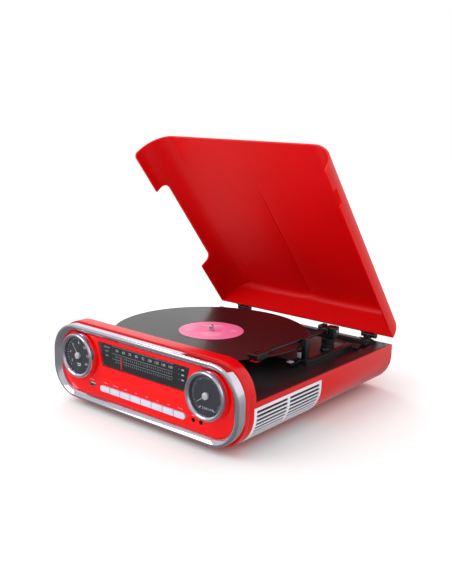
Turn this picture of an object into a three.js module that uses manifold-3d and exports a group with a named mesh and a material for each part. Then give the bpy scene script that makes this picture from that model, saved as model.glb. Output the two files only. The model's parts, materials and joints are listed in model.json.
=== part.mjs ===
// Suitcase record player: a rounded-bar case lying on its side, with a dashboard-style front, a black deck,
// a belt-driven turntable, a pivoted tonearm and a lid hinged at the back. Millimetres, +X right, +Y back,
// +Z up. Pieces are placed in case coordinates: x = 0 on the centre line, y = 0 at the front lip of the trim
// ring, z = 0 at the flat underside of the case. The whole assembly is shifted at the end so that its origin
// is the centre of its footprint, on the floor. The lid stands open at its stop.

import * as THREE from 'three';
import { mergeVertices } from 'three/addons/utils/BufferGeometryUtils.js';
import Module from 'manifold-3d';

const wasm = await Module();
wasm.setup();

// ---------- driving dimensions ----------

const CASE = { width: 353, height: 116.5, depth: 387.5, radius: 47, wall: 3, rearRadius: 14 };
const HALF = CASE.width / 2;
const GAP = 0.3; // clearance between touching pieces

const FRONT = {
  ringInset: 4, // trim ring outline, inside the case outline
  ringBack: 14.5,
  panelInset: 13.8,
  faceY: 9, // bright face of the panel
  panelBack: 14.3,
  housingFront: 14.8,
  seamY: 22, // housing meets the plinth sides here
  seamZ: 76,
  backY: 35, // back of the housing above the deck
};

const WINDOW = { topHalf: 88, bottomHalf: 78, bottomZ: 62, topZ: 97, back: 10.4 };
const SCALE_PLATE = { front: 12.8, back: 13.9 };
const POINTER = { x: -42, width: 1.4, front: 11.2, back: 12, bottom: 64, top: 81 };
const BUTTONS = { count: 8, halfStrip: 82, z: 29, height: 8.6, front: 7, back: 14.2, gap: 0.4 };
const BUTTON_STEM = { half: 3, halfHeight: 2, back: 18.2 };
const USB = { x: -100, z: 30, width: 13.4, height: 6, wall: 0.5, front: 9.2, back: 24 };
const JACKS = { headphone_jack: 95.2, line_in_jack: 108.3 };
const JACK = { z: 28, radius: 2.9, bore: 1.8, front: 9.2, shoulder: 15, flange: 4, back: 22 };

// The two round knobs. A dial face is fixed on a boss of the panel. The bezel and lens turn around it,
// with the centre cap that carries the needle and the shaft.
const KNOB = {
  x: 122, z: 69.7, bossRadius: 34.5, bossFront: 4.8, outer: 33, dial: 30.5, sight: 26.8,
  front: -3.7,
};
const LENS = { bore: 5.3, crown: -1.3, edge: -0.4, back: 0.6 };
const CAP = { radius: 4.9, front: -3.4, back: 2.6 };
const NEEDLE = { length: 21, half: 0.5, front: 1.7, back: 2.5 };
const SHAFT = { radius: 3.2, hole: 3.6, back: 20 };
const CONTROL = { bore: 3.5, radius: 8.5, front: 14.6, bottom: 20.5, back: 21.7 };
const BOARD = {
  half: 88, front: 25.4, back: 27.2, bottom: 8, top: 58, switchHalf: 3.5, switchFront: 20.2,
};

const DECK = { top: 66, bottom: 61.8, panFloor: 63.6, inset: 1.8, rimTop: 65.4 };
const PAN = { left: -160, right: 156, front: 93, back: 374, radius: 12 };
const RIDGE = { left: 129, right: 139, front: 204, back: 330, top: 71 };

const TURNTABLE = { x: -28.5, y: 186.4, recordRadius: 150.8, recordTop: 88.5, platterTop: 86.1 };
const PLATTER = {
  radius: 104, rim: 3, rimBottom: 72, web: 83, driveRadius: 63, driveBottom: 75, hub: 9,
  hubBottom: 69,
};
const SPINDLE = { radius: 3.5, bottom: 40, tip: 98 };
const BUSH = { clearance: 0.25, radius: 6, bottom: 44, top: 66, flange: 10, flangeHeight: 3 };
const MOTOR = { distance: 82, bearing: Math.PI * 0.75, radius: 17.5, bottom: 32, well: 52, bore: 1.4 };
const PULLEY = { radius: 4, bottom: 68, top: 82, shaft: 1.1, shaftBottom: 53 };
const DECK_HOLES = { bush: 6.4, motor: 7 };
const BELT = { bottom: 77, top: 81, thickness: 1 };

const ARM = {
  x: 117, y: 291, z: 97, tubeRadius: 2.6, tubeFront: 133, shellFront: 100, shellHalf: 9,
  shellThickness: 4,
};
const ARM_PIN = { radius: 1.6, half: 12, bore: 1.9 };
const ARM_BASE = { foot: 11.6, footTop: 68, radius: 10, top: 85, bore: 4.4, boreBottom: 70 };
const YOKE = {
  half: 15, slotHalf: 6.5, front: 283, back: 299, bottom: 86, floor: 90, top: 104, post: 4,
  postBottom: 72,
};
const CARTRIDGE = { half: 7, front: 3, back: 27, height: 6.2 };
const STYLUS = { half: 5, clearance: 0.45, drop: 6.5 };
const REST = {
  y: 218, half: 5, saddleTop: 94.1, postLeft: 122, postRight: 128.6, top: 101, footX: 120,
  footRadius: 8.5,
};
const LEVER = { x: 124.5, pivotY: 199.5, front: 178, pivotZ: 69, half: 3, padHalf: 4.5, hub: 3.2 };
const SWITCHES = { speed_switch: 330, auto_stop_switch: 356 };
const SWITCH = { x: 147, half: 4, length: 8, rest: -9, slotHalf: 2, travelHalf: 8 };

const HINGE = {
  y: 397.1, z: 69.7, x: 129, knuckle: 4.2, pin: 2, halfWidth: 13, centreHalf: 5, plate: 2.2,
};
const LID = { bottom: 67.3, front: 36.5, openAngle: 50.5, cornerRadius: 7 };
const RECORD_NOTCH = { front: 113.8, back: 292.8, top: 90.6, radius: 12 };
const FINGER_NOTCH = { front: 73, back: 103, top: 75, radius: 4 };

const GRILLE = {
  front: 32, back: 184, divider: 106, topZ: 58, sweep: 1.08, thickness: 3.2, proud: 0.6,
};
const SLOT = { pitch: 5.6, height: 3, rows: 10, first: 6, frame: 5 };
const SPEAKER = { y: 108, z: 36, radius: 24, face: 150, magnet: 14, depth: 30 };
const FOOT = { radius: 9, height: 6, x: 110, front: 45, back: 340 };
const REAR = {
  z: 30, rca: [-60, -46], rcaRadius: 4.2, rcaBore: 1.7, power: -88, powerRadius: 5.4, powerBore: 3,
};

// ---------- solids ----------

function solidOf(geometry) {
  const bare = geometry.clone();
  bare.deleteAttribute('normal');
  bare.deleteAttribute('uv');
  const merged = mergeVertices(bare, 1e-4);
  const mesh = new wasm.Mesh({
    numProp: 3,
    vertProperties: new Float32Array(merged.attributes.position.array),
    triVerts: new Uint32Array(merged.index.array),
  });
  return new wasm.Manifold(mesh);
}

function geometryOf(solid) {
  const mesh = solid.getMesh();
  const geometry = new THREE.BufferGeometry();
  geometry.setAttribute('position', new THREE.BufferAttribute(new Float32Array(mesh.vertProperties), 3));
  geometry.setIndex(new THREE.BufferAttribute(new Uint32Array(mesh.triVerts), 1));
  geometry.computeVertexNormals();
  return geometry;
}

function join(first, ...others) {
  return geometryOf(others.reduce((sum, next) => sum.add(solidOf(next)), solidOf(first)));
}

function cut(first, ...others) {
  return geometryOf(others.reduce((rest, next) => rest.subtract(solidOf(next)), solidOf(first)));
}

function common(first, second) {
  return geometryOf(solidOf(first).intersect(solidOf(second)));
}

function mirrored(geometry) {
  const copy = geometry.index ? geometry.toNonIndexed() : geometry.clone();
  copy.applyMatrix4(new THREE.Matrix4().makeScale(-1, 1, 1));
  const p = copy.attributes.position;
  for (let i = 0; i < p.count; i += 3) {
    const a = new THREE.Vector3().fromBufferAttribute(p, i + 1);
    const b = new THREE.Vector3().fromBufferAttribute(p, i + 2);
    p.setXYZ(i + 1, b.x, b.y, b.z);
    p.setXYZ(i + 2, a.x, a.y, a.z);
  }
  copy.computeVertexNormals();
  return copy;
}

function block(x, y, z) {
  const geometry = new THREE.BoxGeometry(x[1] - x[0], y[1] - y[0], z[1] - z[0]);
  return geometry.translate((x[0] + x[1]) / 2, (y[0] + y[1]) / 2, (z[0] + z[1]) / 2);
}

// A shape drawn in x and z, extruded along Y.
function alongY(shape, from, to, curveSegments = 7) {
  const geometry = new THREE.ExtrudeGeometry(shape, { depth: to - from, bevelEnabled: false, curveSegments });
  return geometry.rotateX(Math.PI / 2).translate(0, to, 0);
}

// A shape drawn in y and z, extruded along X.
function alongX(shape, from, to, curveSegments = 7) {
  const geometry = new THREE.ExtrudeGeometry(shape, { depth: to - from, bevelEnabled: false, curveSegments });
  const turn = new THREE.Matrix4().makeBasis(
    new THREE.Vector3(0, 1, 0),
    new THREE.Vector3(0, 0, 1),
    new THREE.Vector3(1, 0, 0),
  );
  return geometry.applyMatrix4(turn).translate(from, 0, 0);
}

// A shape drawn in x and y, extruded along Z.
function alongZ(shape, from, to, curveSegments = 7) {
  const geometry = new THREE.ExtrudeGeometry(shape, { depth: to - from, bevelEnabled: false, curveSegments });
  return geometry.translate(0, 0, from);
}

// A closed profile of [radius, height] pairs turned about +Z; it may be listed either way round.
function turned(profile, segments = 32) {
  const points = profile.map(([r, h]) => new THREE.Vector2(r, h));
  if (THREE.ShapeUtils.area(points) < 0) points.reverse();
  points.push(points[0]);
  const geometry = new THREE.LatheGeometry(points, segments);
  return geometry.rotateX(Math.PI / 2);
}

function turnedAt(profile, x, y, segments) {
  return turned(profile, segments).translate(x, y, 0);
}

// The same profile turned about an axis along +Y (heights become y) through (x, z).
function turnedAlongY(profile, x, z, segments) {
  return turned(profile, segments).rotateX(-Math.PI / 2).translate(x, 0, z);
}

// The same profile turned about an axis along +X (heights become x) through (y, z).
function turnedAlongX(profile, y, z, segments) {
  return turned(profile, segments).rotateY(Math.PI / 2).translate(0, y, z);
}

function rodAlongX(radius, from, to, y, z, segments = 14) {
  const geometry = new THREE.CylinderGeometry(radius, radius, to - from, segments);
  return geometry.rotateZ(Math.PI / 2).translate((from + to) / 2, y, z);
}

function rodAlongY(radius, from, to, x, z, segments = 24) {
  return new THREE.CylinderGeometry(radius, radius, to - from, segments).translate(x, (from + to) / 2, z);
}

function rodAlongZ(radius, from, to, x, y, segments = 24) {
  const geometry = new THREE.CylinderGeometry(radius, radius, to - from, segments);
  return geometry.rotateX(Math.PI / 2).translate(x, y, (from + to) / 2);
}

// ---------- outlines ----------

function roundedBox(left, right, low, high, r) {
  const shape = new THREE.Shape();
  shape.absarc(right - r, low + r, r, -Math.PI / 2, 0, false);
  shape.absarc(right - r, high - r, r, 0, Math.PI / 2, false);
  shape.absarc(left + r, high - r, r, Math.PI / 2, Math.PI, false);
  shape.absarc(left + r, low + r, r, Math.PI, Math.PI * 1.5, false);
  shape.closePath();
  return shape;
}

function caseOutline(inset) {
  return roundedBox(-HALF + inset, HALF - inset, inset, CASE.height - inset, CASE.radius - inset);
}

// The case outline below a level.
function lowerOutline(inset, top) {
  const r = CASE.radius - inset;
  const x = HALF - CASE.radius;
  const shape = new THREE.Shape();
  shape.moveTo(HALF - inset, top);
  shape.lineTo(-HALF + inset, top);
  shape.absarc(-x, CASE.radius, r, Math.PI, Math.PI * 1.5, false);
  shape.absarc(x, CASE.radius, r, -Math.PI / 2, 0, false);
  shape.closePath();
  return shape;
}

// The case outline above a level.
function upperOutline(inset, bottom) {
  const r = CASE.radius - inset;
  const x = HALF - CASE.radius;
  const z = CASE.height - CASE.radius;
  const shape = new THREE.Shape();
  shape.moveTo(-HALF + inset, bottom);
  shape.lineTo(HALF - inset, bottom);
  shape.absarc(x, z, r, 0, Math.PI / 2, false);
  shape.absarc(-x, z, r, Math.PI / 2, Math.PI, false);
  shape.closePath();
  return shape;
}

// Side view of the plinth, with its rear bottom edge rounded.
function plinthSide(inset, front) {
  const r = CASE.rearRadius - inset;
  const back = CASE.depth - inset;
  const shape = new THREE.Shape();
  shape.moveTo(front, CASE.height);
  shape.lineTo(front, inset);
  shape.absarc(back - r, inset + r, r, -Math.PI / 2, 0, false);
  shape.lineTo(back, CASE.height);
  shape.closePath();
  return shape;
}

// Side view of the lid: rounded rear top edge and, on the outside, rounded front bottom corners.
function lidSide(inset, front, bottom, cornerRadius) {
  const r = CASE.rearRadius - inset;
  const back = CASE.depth - inset;
  const top = CASE.height - inset;
  const shape = new THREE.Shape();
  shape.absarc(front + cornerRadius, bottom + cornerRadius, cornerRadius, Math.PI, Math.PI * 1.5, false);
  shape.lineTo(back, bottom);
  shape.absarc(back - r, top - r, r, 0, Math.PI / 2, false);
  shape.lineTo(front, top);
  shape.closePath();
  return shape;
}

function windowOutline(inset) {
  const { topHalf, bottomHalf, bottomZ, topZ } = WINDOW;
  const shape = new THREE.Shape();
  shape.moveTo(-bottomHalf + inset, bottomZ + inset);
  shape.lineTo(bottomHalf - inset, bottomZ + inset);
  shape.lineTo(topHalf - inset, topZ - inset);
  shape.lineTo(-topHalf + inset, topZ - inset);
  shape.closePath();
  return shape;
}

// ---------- case ----------

function grilleStrip(margin) {
  const r = CASE.radius + GRILLE.proud;
  const inner = r - GRILLE.thickness - (margin ? 3 : 0);
  const x = HALF - CASE.radius;
  const sweep = -GRILLE.sweep - margin / r;
  const shape = new THREE.Shape();
  shape.moveTo(x + r, GRILLE.topZ + margin);
  shape.lineTo(x + inner, GRILLE.topZ + margin);
  shape.absarc(x, CASE.radius, inner, 0, sweep, true);
  shape.absarc(x, CASE.radius, r, sweep, 0, false);
  shape.closePath();
  return alongY(shape, GRILLE.front - margin, GRILLE.back + margin, 10);
}

// One slot cutter, a distance down the side from the top of the grille.
function slotCutter(distance, from, to) {
  const x = HALF - CASE.radius;
  const straight = GRILLE.topZ - CASE.radius;
  const cutter = new THREE.BoxGeometry(12, to - from, SLOT.height);
  const y = (from + to) / 2;
  if (distance < straight) return cutter.translate(HALF, y, GRILLE.topZ - distance);
  const angle = (distance - straight) / CASE.radius;
  return cutter.translate(CASE.radius, 0, 0).rotateY(angle).translate(x, y, CASE.radius);
}

function speakerGrille() {
  const bays = [
    [GRILLE.front + SLOT.frame, GRILLE.divider - SLOT.frame / 2],
    [GRILLE.divider + SLOT.frame / 2, GRILLE.back - SLOT.frame],
  ];
  const cutters = [];
  for (let row = 0; row < SLOT.rows; row += 1) {
    for (const [from, to] of bays) cutters.push(slotCutter(SLOT.first + row * SLOT.pitch, from, to));
  }
  return cut(grilleStrip(0), ...cutters);
}

// The deck plate's outline from above. It lies in a rebate of the plinth's rim.
function deckOutline(inset) {
  const front = FRONT.backY + inset - DECK.inset + GAP;
  return roundedBox(-HALF + inset, HALF - inset, front, CASE.depth - inset, 2);
}

function plinthShell() {
  const wall = CASE.wall;
  const top = DECK.rimTop;
  const body = join(
    alongY(lowerOutline(0, top), FRONT.seamY + GAP, CASE.depth),
    common(
      alongY(caseOutline(0), FRONT.seamY + GAP, FRONT.backY),
      block([-HALF - 1, HALF + 1], [0, CASE.depth], [-1, FRONT.seamZ]),
    ),
  );
  const hollow = common(
    alongY(lowerOutline(wall, CASE.height), FRONT.seamY - 1, CASE.depth - wall),
    alongX(plinthSide(wall, FRONT.seamY - 1), -HALF, HALF),
  );
  const shell = cut(common(body, alongX(plinthSide(0, 0), -HALF - 1, HALF + 1)), hollow);
  const crossWall = block(
    [-HALF + 2, HALF - 2],
    [FRONT.backY - wall, FRONT.backY],
    [DECK.bottom - 5, FRONT.seamZ],
  );
  const rebate = alongZ(deckOutline(DECK.inset - GAP), DECK.bottom - GAP, CASE.height, 3);
  const opening = grilleStrip(GAP);
  const rear = [CASE.depth - 5, CASE.depth + 1];
  const holes = REAR.rca.map((x) => rodAlongY(REAR.rcaRadius + 0.4, ...rear, x, REAR.z));
  holes.push(rodAlongY(REAR.powerRadius + 0.4, ...rear, REAR.power, REAR.z));
  return cut(join(shell, crossWall), rebate, opening, mirrored(opening), ...holes);
}

function frontHousing() {
  const wall = CASE.wall;
  const outer = alongY(caseOutline(0), FRONT.housingFront, FRONT.backY);
  const below = block([-HALF - 1, HALF + 1], [FRONT.seamY, FRONT.backY + 1], [-1, FRONT.seamZ + GAP]);
  const frontHollow = alongY(caseOutline(wall), FRONT.housingFront - 1, FRONT.seamY);
  const upperHollow = common(
    alongY(caseOutline(wall), FRONT.seamY - 1, FRONT.backY - wall),
    block([-HALF, HALF], [0, FRONT.backY], [FRONT.seamZ + GAP + wall, CASE.height]),
  );
  return cut(outer, below, frontHollow, upperHollow);
}

// A section of [inset, y] pairs swept round the case outline.
function sweptRing(section, cornerSegments) {
  const x = HALF - CASE.radius;
  const lowZ = CASE.radius;
  const highZ = CASE.height - CASE.radius;
  const corners = [[x, lowZ, -90], [x, highZ, 0], [-x, highZ, 90], [-x, lowZ, 180]];
  const positions = [];
  for (const [cx, cz, start] of corners) {
    for (let step = 0; step <= cornerSegments; step += 1) {
      const angle = THREE.MathUtils.degToRad(start + (90 * step) / cornerSegments);
      for (const [inset, y] of section) {
        const r = CASE.radius - inset;
        positions.push(cx + r * Math.cos(angle), y, cz + r * Math.sin(angle));
      }
    }
  }
  const rows = corners.length * (cornerSegments + 1);
  const index = [];
  for (let i = 0; i < rows; i += 1) {
    for (let j = 0; j < section.length; j += 1) {
      const a = i * section.length + j;
      const b = i * section.length + ((j + 1) % section.length);
      const c = ((i + 1) % rows) * section.length + j;
      const d = ((i + 1) % rows) * section.length + ((j + 1) % section.length);
      index.push(a, c, b, b, c, d);
    }
  }
  const geometry = new THREE.BufferGeometry();
  geometry.setAttribute('position', new THREE.Float32BufferAttribute(positions, 3));
  geometry.setIndex(index);
  geometry.computeVertexNormals();
  return geometry;
}

function trimRing() {
  const inset = FRONT.ringInset;
  const inner = FRONT.panelInset - GAP;
  const section = [
    [inset, FRONT.ringBack],
    [inset, 3],
    [inset + 2, 0.4],
    [inset + 4, 0],
    [inner - 0.8, 5.5],
    [inner, 8.7],
    [inner, FRONT.ringBack],
  ];
  return sweptRing(section, 8);
}

function facePanel() {
  const { faceY, panelBack } = FRONT;
  const through = [faceY - 10, panelBack + 1];
  let panel = alongY(caseOutline(FRONT.panelInset), faceY, panelBack);
  const reach = alongY(caseOutline(FRONT.panelInset), KNOB.bossFront - 1, panelBack);
  for (const side of [-1, 1]) {
    const boss = rodAlongY(KNOB.bossRadius, KNOB.bossFront, panelBack - 1, side * KNOB.x, KNOB.z, 36);
    panel = join(panel, common(boss, reach));
  }
  const slot = roundedBox(
    -BUTTONS.halfStrip - BUTTONS.gap,
    BUTTONS.halfStrip + BUTTONS.gap,
    BUTTONS.z - BUTTONS.height / 2 - BUTTONS.gap,
    BUTTONS.z + BUTTONS.height / 2 + BUTTONS.gap,
    BUTTONS.height / 2 + BUTTONS.gap - 0.01,
  );
  const usbHalf = [USB.width / 2 + GAP, USB.height / 2 + GAP];
  return cut(
    panel,
    alongY(windowOutline(0), ...through),
    alongY(slot, ...through, 5),
    block([USB.x - usbHalf[0], USB.x + usbHalf[0]], through, [USB.z - usbHalf[1], USB.z + usbHalf[1]]),
    ...Object.values(JACKS).map((x) => rodAlongY(JACK.radius + GAP, ...through, x, JACK.z, 16)),
    ...[-1, 1].map((side) => rodAlongY(SHAFT.hole, ...through, side * KNOB.x, KNOB.z, 20)),
  );
}

// ---------- tuner and front controls ----------

function tuningPointer() {
  const { x, width, front, back, bottom, top } = POINTER;
  return block([x - width / 2, x + width / 2], [front, back], [bottom, top]);
}

function pushButton(index) {
  const pitch = (2 * BUTTONS.halfStrip) / BUTTONS.count;
  const left = -BUTTONS.halfStrip + index * pitch + BUTTONS.gap / 2;
  const right = left + pitch - BUTTONS.gap;
  const low = BUTTONS.z - BUTTONS.height / 2;
  const high = BUTTONS.z + BUTTONS.height / 2;
  const centre = (left + right) / 2;
  const round = BUTTONS.height / 2 - 0.01;
  const depth = [BUTTONS.front, BUTTONS.back];
  const roundedEnd = (x) => rodAlongY(BUTTONS.height / 2, ...depth, x, BUTTONS.z, 20);
  let cap = block([left, right], depth, [low, high]);
  if (index === 0) {
    cap = join(block([left + round, right], depth, [low, high]), roundedEnd(left + BUTTONS.height / 2));
  }
  if (index === BUTTONS.count - 1) {
    cap = join(block([left, right - round], depth, [low, high]), roundedEnd(right - BUTTONS.height / 2));
  }
  const stem = block(
    [centre - BUTTON_STEM.half, centre + BUTTON_STEM.half],
    [BUTTONS.back - 1, BUTTON_STEM.back],
    [BUTTONS.z - BUTTON_STEM.halfHeight, BUTTONS.z + BUTTON_STEM.halfHeight],
  );
  return join(cap, stem);
}

function usbSocket() {
  const halfX = USB.width / 2;
  const halfZ = USB.height / 2;
  const wall = USB.wall;
  const shell = block([USB.x - halfX, USB.x + halfX], [USB.front, USB.back], [USB.z - halfZ, USB.z + halfZ]);
  const mouth = block(
    [USB.x - halfX + wall, USB.x + halfX - wall],
    [USB.front - 1, USB.back - 1.5],
    [USB.z - halfZ + wall, USB.z + halfZ - wall],
  );
  return cut(shell, mouth);
}

function jackSocket(x) {
  const { radius, bore, front, shoulder, flange, back, z } = JACK;
  const profile = [
    [0, back - 2],
    [bore, back - 2],
    [bore, front],
    [radius, front],
    [radius, shoulder],
    [flange, shoulder],
    [flange, back],
    [0, back],
  ];
  return turnedAlongY(profile, x, z, 12);
}

function dialFace(side) {
  const { dial, bossFront } = KNOB;
  const front = bossFront - 1.5;
  const back = bossFront - 0.2;
  const profile = [[SHAFT.hole, front], [dial, front], [dial, back], [SHAFT.hole, back]];
  return turnedAlongY(profile, side * KNOB.x, KNOB.z, 32);
}

function knobBezel(side) {
  const { outer, sight, front, bossFront } = KNOB;
  const back = bossFront - GAP;
  const cup = KNOB.dial + 0.5;
  const profile = [
    [outer, back],
    [outer, 1],
    [outer - 0.7, front + 1],
    [outer - 2.4, front],
    [sight + 1.6, front + 0.6],
    [sight, -0.9],
    [sight, 1.1],
    [cup, 1.6],
    [cup, back],
  ];
  return turnedAlongY(profile, side * KNOB.x, KNOB.z, 32);
}

function knobLens(side) {
  const rim = KNOB.sight - GAP;
  const { bore, crown, edge, back } = LENS;
  const shoulder = [rim * 0.6, (crown * 2 + edge) / 3];
  const profile = [[bore, crown], shoulder, [rim, edge], [rim, back], [bore, back]];
  return turnedAlongY(profile, side * KNOB.x, KNOB.z, 32);
}

// The centre cap, its shaft and the needle that turns with them.
function knobNeedle(side, angle) {
  const profile = [
    [0, CAP.front],
    [CAP.radius - 1.9, CAP.front + 0.3],
    [CAP.radius - 0.3, CAP.front + 1.4],
    [CAP.radius, CAP.front + 2.6],
    [CAP.radius, CAP.back],
    [SHAFT.radius, CAP.back],
    [SHAFT.radius, SHAFT.back],
    [0, SHAFT.back],
  ];
  const cap = turned(profile, 18).rotateX(-Math.PI / 2);
  const needle = block([0, NEEDLE.length], [NEEDLE.front, NEEDLE.back], [-NEEDLE.half, NEEDLE.half]);
  needle.rotateY(-THREE.MathUtils.degToRad(angle));
  return join(cap, needle).translate(side * KNOB.x, 0, KNOB.z);
}

function rotaryControl(side) {
  const { bore, radius, front, bottom, back } = CONTROL;
  const profile = [[0, bottom], [bore, bottom], [bore, front], [radius, front], [radius, back], [0, back]];
  return turnedAlongY(profile, side * KNOB.x, KNOB.z, 16);
}

// The board behind the panel: a switch behind each button, a transformer and a heat sink.
function mainBoard() {
  const { half, front, back, bottom, top, switchHalf, switchFront } = BOARD;
  const pitch = (2 * BUTTONS.halfStrip) / BUTTONS.count;
  const board = block([-half, half], [front, back], [bottom, top]);
  const transformer = block([-70, -40], [back - 0.2, back + 15], [42, 54]);
  const heatSink = block([20, 45], [back - 0.2, back + 7], [10, 24]);
  const switches = [];
  for (let i = 0; i < BUTTONS.count; i += 1) {
    const x = -BUTTONS.halfStrip + (i + 0.5) * pitch;
    const height = [BUTTONS.z - switchHalf, BUTTONS.z + switchHalf];
    switches.push(block([x - switchHalf, x + switchHalf], [switchFront, front + 0.6], height));
  }
  return join(board, transformer, heatSink, ...switches);
}

// ---------- deck and turntable ----------

function motorCentre() {
  return [
    TURNTABLE.x + MOTOR.distance * Math.cos(MOTOR.bearing),
    TURNTABLE.y + MOTOR.distance * Math.sin(MOTOR.bearing),
  ];
}

function deckPlate() {
  const slab = alongZ(deckOutline(DECK.inset), DECK.bottom, DECK.top, 3);
  const panOutline = roundedBox(PAN.left, PAN.right, PAN.front, PAN.back, PAN.radius);
  const pan = alongZ(panOutline, DECK.panFloor, DECK.top + 1, 5);
  const ridge = block([RIDGE.left, RIDGE.right], [RIDGE.front, RIDGE.back], [DECK.bottom + 1, RIDGE.top]);
  const slots = Object.values(SWITCHES).map((y) => (
    block(
      [SWITCH.x - SWITCH.slotHalf, SWITCH.x + SWITCH.slotHalf],
      [y - SWITCH.travelHalf, y + SWITCH.travelHalf],
      [DECK.bottom - 1, DECK.top + 1],
    )
  ));
  const holes = [
    rodAlongZ(DECK_HOLES.bush, DECK.bottom - 1, DECK.top + 1, TURNTABLE.x, TURNTABLE.y, 20),
    rodAlongZ(DECK_HOLES.motor, DECK.bottom - 1, DECK.top + 1, ...motorCentre(), 20),
  ];
  return cut(join(cut(slab, pan), ridge), ...slots, ...holes);
}

function platter() {
  const { radius, rim, rimBottom, web, driveRadius, driveBottom, hub, hubBottom } = PLATTER;
  const bore = SPINDLE.radius + 0.2;
  const profile = [
    [bore, TURNTABLE.platterTop],
    [radius, TURNTABLE.platterTop],
    [radius, rimBottom],
    [radius - rim, rimBottom],
    [radius - rim, web],
    [driveRadius, web],
    [driveRadius, driveBottom],
    [driveRadius - rim, driveBottom],
    [driveRadius - rim, web],
    [hub, web],
    [hub, hubBottom],
    [bore, hubBottom],
  ];
  return turnedAt(profile, TURNTABLE.x, TURNTABLE.y, 40);
}

function record() {
  const { recordRadius, recordTop, platterTop } = TURNTABLE;
  const bottom = platterTop + GAP;
  const bore = SPINDLE.radius + 0.2;
  const profile = [
    [bore, bottom],
    [recordRadius - 0.6, bottom],
    [recordRadius, (bottom + recordTop) / 2],
    [recordRadius - 0.6, recordTop],
    [bore, recordTop],
  ];
  return turnedAt(profile, TURNTABLE.x, TURNTABLE.y, 56);
}

function spindle() {
  const { radius, bottom, tip } = SPINDLE;
  const point = [[radius - 1, tip - 1], [1.2, tip], [0, tip]];
  const profile = [[0, bottom], [radius, bottom], [radius, tip - 3], ...point];
  return turnedAt(profile, TURNTABLE.x, TURNTABLE.y, 16);
}

function spindleBush() {
  const bore = SPINDLE.radius + BUSH.clearance;
  const flangeTop = DECK.bottom - GAP;
  const flangeBottom = flangeTop - BUSH.flangeHeight;
  const profile = [
    [bore, BUSH.bottom],
    [BUSH.radius, BUSH.bottom],
    [BUSH.radius, flangeBottom],
    [BUSH.flange, flangeBottom],
    [BUSH.flange, flangeTop],
    [BUSH.radius, flangeTop],
    [BUSH.radius, BUSH.top],
    [bore, BUSH.top],
  ];
  return turnedAt(profile, TURNTABLE.x, TURNTABLE.y, 16);
}

function motor() {
  const { radius, bottom, well, bore } = MOTOR;
  const top = DECK.bottom - GAP;
  const profile = [[0, bottom], [radius, bottom], [radius, top], [bore, top], [bore, well], [0, well]];
  return turnedAt(profile, ...motorCentre(), 20);
}

function motorPulley() {
  const { radius, bottom, top, shaft, shaftBottom } = PULLEY;
  const drum = [[radius, bottom], [radius, top], [0, top]];
  const profile = [[0, shaftBottom], [shaft, shaftBottom], [shaft, bottom], ...drum];
  return turnedAt(profile, ...motorCentre(), 16);
}

// The belt is the tight loop round two circles: the platter's drive ring and the pulley.
function beltLoop(extra) {
  const large = PLATTER.driveRadius + extra;
  const small = PULLEY.radius + extra;
  const tilt = Math.acos((large - small) / MOTOR.distance);
  const shape = new THREE.Shape();
  shape.absarc(0, 0, large, tilt, 2 * Math.PI - tilt, false);
  shape.absarc(MOTOR.distance, 0, small, -tilt, tilt, false);
  shape.closePath();
  return shape;
}

function driveBelt() {
  const loop = beltLoop(GAP + BELT.thickness);
  loop.holes.push(new THREE.Path(beltLoop(GAP).getPoints(24)));
  const geometry = alongZ(loop, BELT.bottom, BELT.top, 24);
  return geometry.rotateZ(MOTOR.bearing).translate(TURNTABLE.x, TURNTABLE.y, 0);
}

// ---------- tonearm ----------

function armBase() {
  const { foot, footTop, radius, top, bore, boreBottom } = ARM_BASE;
  const floor = DECK.panFloor + GAP;
  const profile = [
    [0, floor],
    [foot, floor],
    [foot, footTop],
    [radius, footTop + 2],
    [radius, top],
    [bore, top],
    [bore, boreBottom],
    [0, boreBottom],
  ];
  return turnedAt(profile, ARM.x, ARM.y, 20);
}

function armYoke() {
  const { half, slotHalf, front, back, bottom, floor, top, post, postBottom } = YOKE;
  const body = block([ARM.x - half, ARM.x + half], [front, back], [bottom, top]);
  const slot = block([ARM.x - slotHalf, ARM.x + slotHalf], [front - 1, back + 1], [floor, top + 1]);
  const stub = rodAlongZ(post, postBottom, bottom + 1, ARM.x, ARM.y);
  const bores = rodAlongX(ARM_PIN.bore, ARM.x - half - 1, ARM.x + half + 1, ARM.y, ARM.z, 16);
  return cut(join(body, stub), slot, bores);
}

function tonearm() {
  const { x, y, z, tubeRadius, tubeFront, shellFront, shellHalf, shellThickness } = ARM;
  const tube = rodAlongY(tubeRadius, tubeFront, y, x, z, 16);
  const hub = block([x - 5.5, x + 5.5], [y - 12, y + 13], [z - 5.5, z + 5]);
  const pin = rodAlongX(ARM_PIN.radius, x - ARM_PIN.half, x + ARM_PIN.half, y, z, 16);
  const outline = new THREE.Shape();
  outline.moveTo(x - shellHalf, shellFront);
  outline.lineTo(x + shellHalf, shellFront);
  outline.lineTo(x + shellHalf, shellFront + 27);
  outline.lineTo(x + 4, shellFront + 40);
  outline.lineTo(x - 4, shellFront + 40);
  outline.lineTo(x - shellHalf, shellFront + 27);
  outline.closePath();
  const shell = alongZ(outline, z, z + shellThickness);
  const neck = block([x - 3.5, x + 3.5], [tubeFront, tubeFront + 14], [z - 3, z + 3.5]);
  const side = x + shellHalf;
  const finger = block([side - 1, side + 7], [shellFront - 6, shellFront + 4], [z + 1, z + 2.4]);
  return join(tube, hub, pin, shell, neck, finger);
}

function cartridge() {
  const { x, z, shellFront } = ARM;
  const { half, front, back, height } = CARTRIDGE;
  return block([x - half, x + half], [shellFront + front, shellFront + back], [z - height, z - GAP]);
}

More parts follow.
